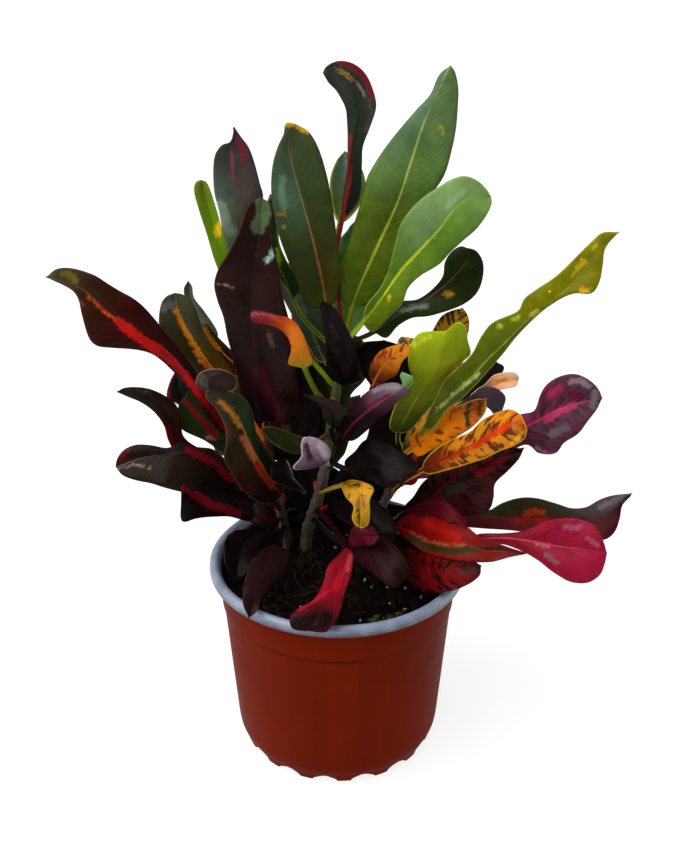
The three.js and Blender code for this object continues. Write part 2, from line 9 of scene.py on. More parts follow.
import bmesh
import bpy
import numpy as np
from bpy.props import FloatProperty, FloatVectorProperty, IntProperty, PointerProperty
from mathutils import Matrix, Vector


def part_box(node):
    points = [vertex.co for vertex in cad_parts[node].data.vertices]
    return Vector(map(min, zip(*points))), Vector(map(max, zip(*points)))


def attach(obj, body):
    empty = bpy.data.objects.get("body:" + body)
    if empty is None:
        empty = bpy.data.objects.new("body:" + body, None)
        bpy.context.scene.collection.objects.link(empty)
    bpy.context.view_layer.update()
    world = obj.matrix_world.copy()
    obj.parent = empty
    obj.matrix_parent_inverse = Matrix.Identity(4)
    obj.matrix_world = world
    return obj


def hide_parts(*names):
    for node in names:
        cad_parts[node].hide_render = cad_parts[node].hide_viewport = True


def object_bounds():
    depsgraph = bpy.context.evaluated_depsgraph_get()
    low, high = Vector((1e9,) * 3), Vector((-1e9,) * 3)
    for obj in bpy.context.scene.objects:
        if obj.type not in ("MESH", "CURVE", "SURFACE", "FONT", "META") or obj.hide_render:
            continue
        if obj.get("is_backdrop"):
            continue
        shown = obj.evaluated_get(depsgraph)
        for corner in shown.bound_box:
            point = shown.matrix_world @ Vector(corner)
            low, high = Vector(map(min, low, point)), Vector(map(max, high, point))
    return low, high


bl_info = {
    "name": "Potted croton",
    "version": (1, 0, 0),
    "blender": (4, 5, 0),
    "location": "View3D > Sidebar > Croton",
    "description": "Builds a potted croton with many-coloured leaves round its solids",
    "category": "Object",
}

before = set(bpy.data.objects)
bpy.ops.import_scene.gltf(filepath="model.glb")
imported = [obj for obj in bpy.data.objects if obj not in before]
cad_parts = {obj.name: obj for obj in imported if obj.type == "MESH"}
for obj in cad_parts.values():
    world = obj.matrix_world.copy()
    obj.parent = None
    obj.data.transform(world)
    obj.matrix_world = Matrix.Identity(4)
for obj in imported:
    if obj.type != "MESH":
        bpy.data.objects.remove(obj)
SOLID_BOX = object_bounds()
POT_LOW, POT_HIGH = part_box("pot")
MM = 0.001
TAU = 2 * math.pi

# ---- the camera, which is also what the leaves that show from the front are drawn from ----
CAMERA_PLACE = (1.1, -480, 399)
CAMERA_TILT = math.radians(24.9)
PICTURE_WIDE, PICTURE_HIGH = 680, 850  # the picture that it takes, in pixels
FOCAL = 1100  # its focal length in those pixels
SENSOR = 24  # height of its sensor

# ---- pot, as its solid has it, in millimetres ----
RIM_RADIUS = (POT_HIGH.x - POT_LOW.x) / 2 / MM
POT_HEIGHT = POT_HIGH.z / MM
LIP_HEIGHT = 5.5
LIP_REACH = 4.8
WALL = 1.2
STEP_HEIGHT = 80
STEP_DEPTH = 0.8
STEP_RADIUS = 58.4
FOOT_RADIUS = 50
CORNER_HEIGHT = 13
CORNER_RADIUS = 53.4
FOOT_WIDTH = 6
FLOOR_RAISE = 3.4
FEET = 16
NOTCH_HEIGHT = 3.2
PAD_RADIUS = 12
DRAIN_HOLES = 6
DRAIN_RADIUS = 4
DRAIN_CIRCLE = 30
POT_SIDES = 384  # steps of its turn

# ---- potting mix ----
MIX_TOP = 91
CLOD_HEIGHT = 1.6
MIX_GAP = 0.4  # between the mix and the pot's wall
MIX_SIDES, MIX_RINGS = 256, 76  # steps of its turn, and circles of its top

# ---- stems: the line of each one's middle, and its radius at its foot and its tip ----
STEMS = {
    "centre_stem": dict(
        line=((-17, 26, 95), (-16, 25, 104), (-9, 20, 130), (-3, 13, 172), (4, 8, 222)),
        foot=3.2, tip=1.8, slot="green_foliage",
    ),
    "left_stem": dict(
        line=((-27, 28, 95), (-28, 27, 102), (-30, 22, 118), (-33, 14, 145), (-35, 8, 172)),
        foot=2.6, tip=1.7, slot="dark_foliage",
    ),
    "right_stem": dict(
        line=((12, 14, 95), (13, 13, 102), (19, 9, 118), (27, 4, 142), (33, 1, 166)),
        foot=2.7, tip=1.7, slot="red_foliage",
    ),
}
STUB = 6  # how far a stem goes straight down into the mix from the start of its line
STEM_ROWS, STEM_SIDES = 150, 28
SCAR_GAP = 8.5  # between the scars of dropped leaves

# ---- every leaf ----
# its columns, from one edge to the other, and its rows, on the bare stalk and on the blade
ACROSS = np.sign(np.linspace(-1, 1, 19)) * np.abs(np.linspace(-1, 1, 19)) ** 1.15
STALK_ROWS, BLADE_ROWS = 5, 74
STALK_HALF = 1.1  # half the stalk's width
RIB_THICK, TIP_THICK, EDGE_THICK = 1.7, 0.5, 0.35  # at the rib's root, at its tip and along the edges
WAVE_LENGTH, RIPPLE_LENGTH, BUMP_LENGTH = 36, 15, 47  # of its edges' waves and ripples, and its blade's bumps
VEIN_GAP = 5  # between side veins
NOWHERE = -10  # width given to a line that it hasn't
SPLASH_RISE = 0.055  # how much a splash's value grows by each pixel inwards
NOISE_STEP = 37.0  # how far each leaf's noise starts from the last one's

# ---- the colours that croton leaves take with age, from the youngest green to the oldest crimson ----
COLOURS = {
    "lime": "#7fae0c", "leaf": "#4a8410", "moss": "#3c600c", "forest": "#2a4c14", "bottle": "#1f3c1c",
    "night": "#141f18", "olive": "#343c10", "khaki": "#6c7412", "teal": "#48685c", "sage": "#5c8a5c",
    "slate": "#2c3430", "ink": "#100606", "plum": "#260d14", "aubergine": "#18080f", "wine": "#3c0816",
    "crimson": "#740b1e", "ruby": "#a01038", "rose": "#b82450", "blush": "#c86070",
    "scarlet": "#b81410", "flame": "#d0400e", "brick": "#8a3018", "orange": "#e07c10",
    "amber": "#dc8a12", "gold": "#d8a81c", "yellow": "#e4c41c", "peach": "#e2a878", "brown": "#2e140a",
    "bronze": "#261a0c", "lilac": "#a292a8", "mauve": "#66485a", "magenta": "#901444",
    "heather": "#43303f",
}

# ---- the leaves of each stem, from its crown down, first those that show from the front ----
# at: height of the leaf's root on its stem. wave: height of its edges' waves, 0.5 if not given.
#
# A leaf that shows is drawn by where it is seen in the picture that the camera takes. mid: its midrib as x,
# y in the picture and depth Y in millimetres. left, right: its edges as x, y in the picture, on the left
# and right of one who goes up the midrib. lean: how far an edge goes back for each millimetre that it is
# higher than the rib, 0 if not given. vee: how far both edges come forward for each millimetre from the
# rib, 0.1 if not given. back: its underside faces the front.
#
# A leaf further in has other sizes. by: points that its midrib passes, the last is its tip. wide: greatest
# width. taper: how slowly it widens and narrows, 0.9 and 0.5 if not given. roll, twist: turn about the
# midrib at the root, and further to the tip. fold: rise of each half. facing: azimuth that its underside
# faces, where its line doesn't give it. stalk, for either kind: length of its bare stalk.
#
# Its finish. face: colours from its base to its tip; after a bar, those of the half on its left. On some
# glossy leaves its paler grey stops near the tip are painted sheen. rib: the midrib's colours. rib_wide:
# its width. bleed: how far its colour spreads into the blade. under: the underside's colours. edge: the
# margin's colour and edge_wide its width. stem: its stalk's colour. veins, flecks: how strongly side veins
# and pale dots show. mottle: colour and share of the blade it takes. patches_and_highlights: the leaf's own
# patches and, on some leaves, painted highlights and sheen, each as its colour, half its width and the line
# that it follows, both in the picture's pixels.
# SHADE is painted shade: near-black sheets and inner leaves where the inside of the plant lies in shade
SHADE = dict(face="ink #14080a ink", rib="ink", under="#28341c #341c24")
CENTRE_LEAVES = {
    "dark_crest": dict(at=216, lean=0.1, wave=0.3, mid="336,275,14 337,245,16 342,220,17 347,200,18 "
        "350,185,18 352,160,19 354,135,17 359,112,14 358,92,10 351,79,5 338,71,-2 323,73,-8",
        left="341,213 344,190 347,160 348,135 346,110 337,92 328,82",
        right="349,213 359,195 362,165 363,147 371,125 376,105 372,87 364,72 352,63 338,61 327,66",
        face="#14100c #1c2018 #28341f #2e3a2c #2a3026 #2e322c",
        rib="#7c2420 #7c2420 #5a1a18 #2c3228 #2c3228", rib_wide=0.9, under="brick ink ink", stem="#8a2a22",
        patches_and_highlights="#8a3028 2 342,222 347,190 348,160 350,136; #504440 2.4 368,98 372,112 366,130; #7c1424 4.2 "
        "340,61 353,65 363,74 370,84 374,96; #a8843c 1.8 338,69 345,74 352,80; #9c8478 1.1 358,84 364,94"),
    "shade_heart": dict(at=150, wave=0.6,
        mid="330,470,14 336,440,18 334,410,20 326,380,22 318,350,24 308,320,26",
        left="312,455 306,430 304,400 300,370 296,340 292,310",
        right="342,457 349,441 356,428 352,410 350,396 353,390 366,375 364,342",
        face="ink #2c2c0c #34340c #1c180c", rib="#4c5414", under="#30401c #3c2420", stem="ink",
        patches_and_highlights="#6a7414 1.1 317,400 306,376 303,360; #8a6a3c 1 309,412 297,391 280,376"),
    "shade_gap": dict(at=118, mid="332,520,12 345,500,12 360,484,12 374,466,12 384,448,12",
        left="326,498 334,480 342,468 356,462 370,446", right="352,512 372,508 388,502 395,486 392,462",
        **SHADE),
    "teal_back": dict(at=218, back=True,
        mid="334,270,20 335,245,22 341,218,27 347,195,31 347,172,32 345,151,33",
        left="336,218 331,200 330,178 337,160", right="348,219 362,200 365,180 356,158", face="moss",
        rib="#7c8c50 #8aa08c", under="#4c5810 #54683c #5a7460 #60786c", edge="#8a9628", edge_wide=0.9,
        patches_and_highlights="#3c4424 3.2 357,172 359,196 354,214", stem="moss"),
    # the pale grey-green stops towards its tip, palest on its left half, are painted sheen
    "green_blade": dict(at=220, lean=0.1, vee=0.18,
        mid="352,305,10 362,280,12 378,245,15 397,203,19 410,165,22 423,125,22 436,95,22 450,66,22",
        left="342,300 340,270 348,245 355,220 363,195 367,178 377,160 391,140 417,109 430,95 440,74",
        right="378,302 396,280 406,250 416,220 430,197 443,177 451,153 456,130 458,108 458,86 454,70",
        face="#44580a #4a5c0a #4e6212 #557438 #567040 #54703e|#44580a #4c600c #546818 #64864c #6a8c66 "
        "#648462", rib="#7c8018 #a0ac28 #b0bc48 #acbc60 #8c9c68", rib_wide=1.7, under="sage", veins=0.08,
        edge="#35481c", edge_wide=0.3, patches_and_highlights="#a0a828 2.2 441,127; #98a030 1.8 443,133"),
    # the pale grey-green stops towards its tip and its band at 447,207 are painted sheen
    "green_spoon": dict(at=214, lean=0.15, vee=0.16,
        mid="360,326,3 373,310,4 386,292,4 400,272,4 420,250,3 440,228,2 455,208,1 473,196,0 491,197,0",
        left="366,306 380,288 389,268 394,248 402,222 420,200 440,186 452,179 465,176 478,181 487,190",
        right="372,332 388,318 402,304 408,288 420,276 440,264 451,252 463,241 477,228 491,205",
        face="#566a06 #5c7408 #627e20 #4c7018 #5c8030 #6a8a4c|#4c6808 #547410 #5a7c2a #74965a #7a9a5c "
        "#6c8c4c", rib="#a0b01c #b4c428 #b4c430 #98b038 #64842c", rib_wide=2, under="sage", veins=0.08,
        edge="#86a05c", edge_wide=0.35,
        patches_and_highlights="#b4a01c 2 434,236; #c4a81c 1.8 389,300 390,297; #8cac78 3.2 447,207 462,192"),
    # its grey-green band at 283,178 on its left half is painted sheen
    "green_upright": dict(at=212, lean=0.05, vee=0.16,
        mid="326,305,6 324,290,8 318,262,8 309,225,8 296,180,8 291,160,9 288,142,10 296,124,10",
        left="306,305 297,280 287,258 278,232 273,208 271,185 273,163 278,146 284,133 286,123",
        right="336,300 339,270 337,240 334,215 328,180 318,147 308,131",
        face="#363c08 #3a360a #30380c #2e3c17 #364224 #3b462b|#323e10 #303a10 #344218 #445c44 #44563a "
        "#40442e", rib="#8a4c20 #905430 #84643c #70664a #5a5030", rib_wide=1.3, under="teal", veins=0.05,
        patches_and_highlights="#c09818 3.4 286,124 296,124 306,130; ink 1.8 310,133; #b08814 2.4 280,213 284,214; #a08c1c "
        "2 284,227 285,228; #5c7860 3.8 283,178 281,196 284,206"),
    "lime_strap": dict(at=190, vee=0.2, wave=0.3,
        mid="290,336,26 239,291,30 224,255,33 214,222,36 206,198,38 201,180,38",
        left="229,288 215,262 207,235 199,210 194,190 196,182",
        right="242,285 230,253 222,228 216,208 206,182", face="#4c6c08 #5e8209 #62810d #6b7e1d",
        rib="#7c9018", under="leaf", rib_wide=0.7, patches_and_highlights="#d0a814 4 217,233 220,225 226,219"),
    "grey_back": dict(at=208, vee=0.2, wave=0.4, back=True,
        mid="301,315,18 288,285,20 272,248,22 271,225,24 272,208,24 270,194,24",
        left="290,295 268,262 261,247 265,230 266,208", right="304,290 287,262 280,243 279,226 277,206",
        face="bottle", rib="#3c4c20", under="#1c2c10 #1f3010 #222f0c", edge="#68741c", edge_wide=0.7,
        patches_and_highlights="#74900f 2.2 277,250 279,264"),
    # its grey-green band at 291,280 is painted sheen
    "teal_under": dict(at=196, wave=0.4, back=True,
        mid="323,357,16 313,332,20 300,307,23 290,283,24 284,260,24",
        left="318,362 303,337 289,310 280,291 277,275", right="336,352 328,325 316,300 306,283 296,268",
        face="bottle", rib="#505c40", under="#1c2c18 #36442c #586858 #46583c", edge="#8a5048",
        edge_wide=0.7, patches_and_highlights="#68786a 4.2 291,280 298,298 304,312"),
    "orange_arch": dict(at=185, lean=0.3, wave=0.4,
        mid="322,400,-8 305,369,-19 300,350,-24 294,335,-26 284,324,-28 266,318,-30 250,317,-31",
        left="289,364 291,350 288,338 280,329 266,324 254,322",
        right="312,363 308,347 301,331 291,319 276,315 262,311 252,311",
        face="#74841a #b07414 #d07414 #d46c18 #b83c12 #7c2428 #5c1820",
        rib="#b87814 #d07810 #c04c14 #8a2c28", rib_wide=0.7, under="orange #c83810 #7c2030", stem="#6c781c",
        patches_and_highlights="#b03410 1.6 286,338 291,347; #a8545c 1.2 252,314 264,314 276,318"),
    "dark_bud": dict(at=205, vee=0.25, wave=0.3, mid="342,385,-10 338,345,-18 332,322,-21 323,300,-23",
        left="330,378 326,345 323,322 320,306", right="358,382 356,350 344,323 334,307", face="ink",
        rib="ink", under="ink", patches_and_highlights="#241c24 1.8 331,324 337,338"),
    # its blue-grey band at 403,311 is a painted highlight
    "right_arch": dict(at=215, lean=0.5,
        mid="366,336,6 380,328,7 393,319,9 406,309,10 420,303,12 450,281,18 468,258,22 468,248,23",
        left="372,322 384,308 399,301 418,299 434,288 443,276 445,262 452,251 461,246",
        right="386,338 398,326 412,318 430,316 464,304 477,293 483,278 483,262 476,251",
        face="#24381c #283c18 #263410 #202c0a #1c280a #1a240c|#34483c #34483c #3a4c3c #24300f #1e2a0a "
        "#1e280c", rib="#4c3028 #7c4c48 #8c5850 #5c3420", rib_wide=1, under="bronze night",
        patches_and_highlights="#b87818 3 446,294 451,294; #7c8c80 2.6 403,311 414,307 426,306"),
    "flame_small": dict(at=168, lean=0.6, wave=0.6,
        mid="366,404,-12 371,393,-18 377,376,-23 390,359,-30 411,347,-34",
        left="370,378 373,363 381,351 403,344", right="378,387 387,381 396,376 402,362 410,353",
        face="ink #4c2410 #a45408 #bc7014 #b87818", rib="#a84c10 #c07014", under="orange",
        mottle=("#7c2810", 0.3), patches_and_highlights="#6c1c10 1.8 379,357 386,352", stem="ink"),
    # the grey stops towards its tip and its grey band at 374,391 are painted sheen
    "magenta_rib": dict(at=168, lean=0.6, wave=0.6,
        mid="338,444,-10 352,425,-20 368,411,-28 385,399,-34 405,387,-38",
        left="340,430 347,414 357,402 369,390 381,384 396,383",
        right="353,440 368,430 392,408 401,397 410,390",
        face="ink ink #1c0c10 #3c2028 #54404c|ink ink #2c1018 #5c4854 #6c6468",
        rib="#4c0c20 #6c1c38 #6c4858", bleed=0.4, under="wine", stem="ink",
        patches_and_highlights="#7c707c 2.6 374,391 384,387 398,387; #5c1430 3.4 370,406 380,401 390,396"),
    "plum_low": dict(at=150, lean=0.7, wave=0.8,
        mid="344,468,-6 360,466,-18 380,467,-28 402,475,-36 418,470,-40",
        left="346,461 357,451 370,440 388,443 405,453 416,462",
        right="352,476 368,482 386,488 400,484 416,474", face="ink #0c0606 #140a08", rib="ink #200c10",
        under="ink", stem="ink"),
    "lilac_small": dict(at=150, lean=0.3, vee=0.15, wave=0.2,
        mid="327,466,-10 320,461,-24 314,455,-32 310,447,-36 309,437,-38",
        left="313,468 293,469 301,457 301,444 304,437", right="329,460 330,450 324,442 316,438",
        face="#4c3440 #74606c #9c8c98|#3c2430 #6c5464 #948490", rib="#6a3c4c #a090a0", under="lilac",
        edge="#aca0ac", edge_wide=0.7, stem="ink",
        patches_and_highlights="#b0a4ae 4.2 320,444 326,456; #4c2838 3.6 307,446 310,458"),
    "moss_small": dict(at=165, lean=0.5, vee=0, wave=0.3,
        mid="310,444,-4 292,441,-12 276,434,-18 261,429,-22", left="304,452 291,453 277,446 267,437",
        right="306,439 292,433 278,428 267,426", face="#2c3410 #28380f #20300f", rib="#3c4414",
        under="bottle", edge="#6c4424", edge_wide=0.6, stem="ink"),
    "golden_curl": dict(at=128, lean=0.2, wave=0.3,
        mid="335,487,-14 345,485,-26 355,489,-34 361,498,-40 361,511,-44 361,528,-46",
        left="350,480 361,481 374,489 370,500 370,514 368,524",
        right="341,484 346,497 354,507 352,518 356,526", face="#180c08 #b07c1c #cc902c #b07c14 #7c5810",
        rib="#180c08 #b88420 #b88420", under="gold khaki", edge="#a89428", stem="ink",
        mottle=("#8c5c10", 0.25),
        patches_and_highlights="#4c3008 1.8 350,486 359,485; #4c3c08 2.2 358,510 361,524; #948c24 1.6 370,504 370,516"),
    # its rose band at 350,557 is a painted highlight
    "red_drape": dict(at=118, lean=0.1, vee=0.15, wave=0.4,
        mid="337,532,-8 344,546,-25 346,560,-36 339,580,-46 332,598,-57 319,614,-67 307,631,-73",
        left="352,552 352,570 345,592 336,620 326,632",
        right="339,556 328,567 323,583 314,598 300,607 290,617 292,628",
        face="#6c1018 #8c0c1e #840c1e #4c0c14 #200c0e", rib="#980c20 #8c0c1c #4c0c14 #200c0e", rib_wide=0.7,
        under="crimson #7c0c1c plum", stem="#2c0810", patches_and_highlights="#a41426 3.2 342,570 336,588; #b03844 2.2 "
        "350,557 347,570; #a41c2c 1.6 327,592 312,602 299,610; #200c0e 8 296,624 310,622 326,618"),
    "maroon_low": dict(at=112, lean=0.4, wave=0.6,
        mid="340,542,-8 356,545,-20 375,551,-30 392,562,-38 404,580,-44",
        left="352,532 372,533 392,542 405,556 410,570", right="348,556 362,568 380,580 394,588",
        face="#340f12 #300e11 #140808", rib="#3c0c14 #160909", under="plum", stem="ink"),
    "back_green": dict(at=200, wide=26, taper=(0.9, 0.6), twist=10, fold=14, wave=1.2,
        by=((8, 40, 228), (16, 66, 262)), face="moss forest bottle", rib="lime lime sage", rib_wide=1.6,
        under="sage teal", veins=0.08),
    "back_plum": dict(at=185, wide=26, taper=(0.9, 0.6), roll=10, twist=10, fold=14, wave=1.4,
        by=((-6, 45, 205), (-14, 80, 212), (-18, 102, 196)), face="plum aubergine ink",
        rib="crimson magenta", bleed=2, under="mauve heather"),
    "back_flame": dict(at=165, wide=24, roll=-10, twist=-10, fold=16, wave=1.4,
        by=((30, 48, 176), (46, 82, 188), (54, 102, 172)), face="olive bottle moss",
        rib="flame orange gold", bleed=2.2, under="olive", mottle=("orange", 0.32), stem="ink"),
    "back_dark": dict(at=145, wide=24, taper=(0.9, 0.6), twist=14, fold=14, wave=1.6,
        by=((2, 55, 152), (0, 90, 150), (-4, 114, 132)), face="ink aubergine night",
        rib="crimson scarlet wine", bleed=1.8, under="wine plum"),
    "back_crimson": dict(at=125, wide=22, roll=14, twist=-10, fold=16, wave=1.4,
        by=((-16, 60, 130), (-26, 92, 122), (-30, 110, 102)), face="wine crimson crimson", rib="rose blush",
        bleed=1.6, under="wine", mottle=("ink", 0.3)),
    "back_low": dict(at=112, wide=22, taper=(0.9, 0.6), roll=-10, twist=12, fold=14, wave=1.4,
        by=((18, 58, 120), (30, 86, 116), (36, 104, 98)), face="plum ink night", rib="scarlet flame",
        bleed=1.4, under="plum", mottle=("wine", 0.3)),
    "inner_dark": dict(at=172, wide=16, taper=(0.8, 0.5), fold=18, wave=0.8, facing=-120,
        by=((-2, -8, 180), (-4, -24, 196), (-14, -34, 206)), **SHADE),
    # a leaf inside the plant, near black with SHADE: painted shade
    "inner_wine": dict(at=132, wide=18, roll=30, fold=16, wave=1.4,
        by=((4, -4, 132), (14, -14, 134), (26, -26, 126)), **SHADE),
}

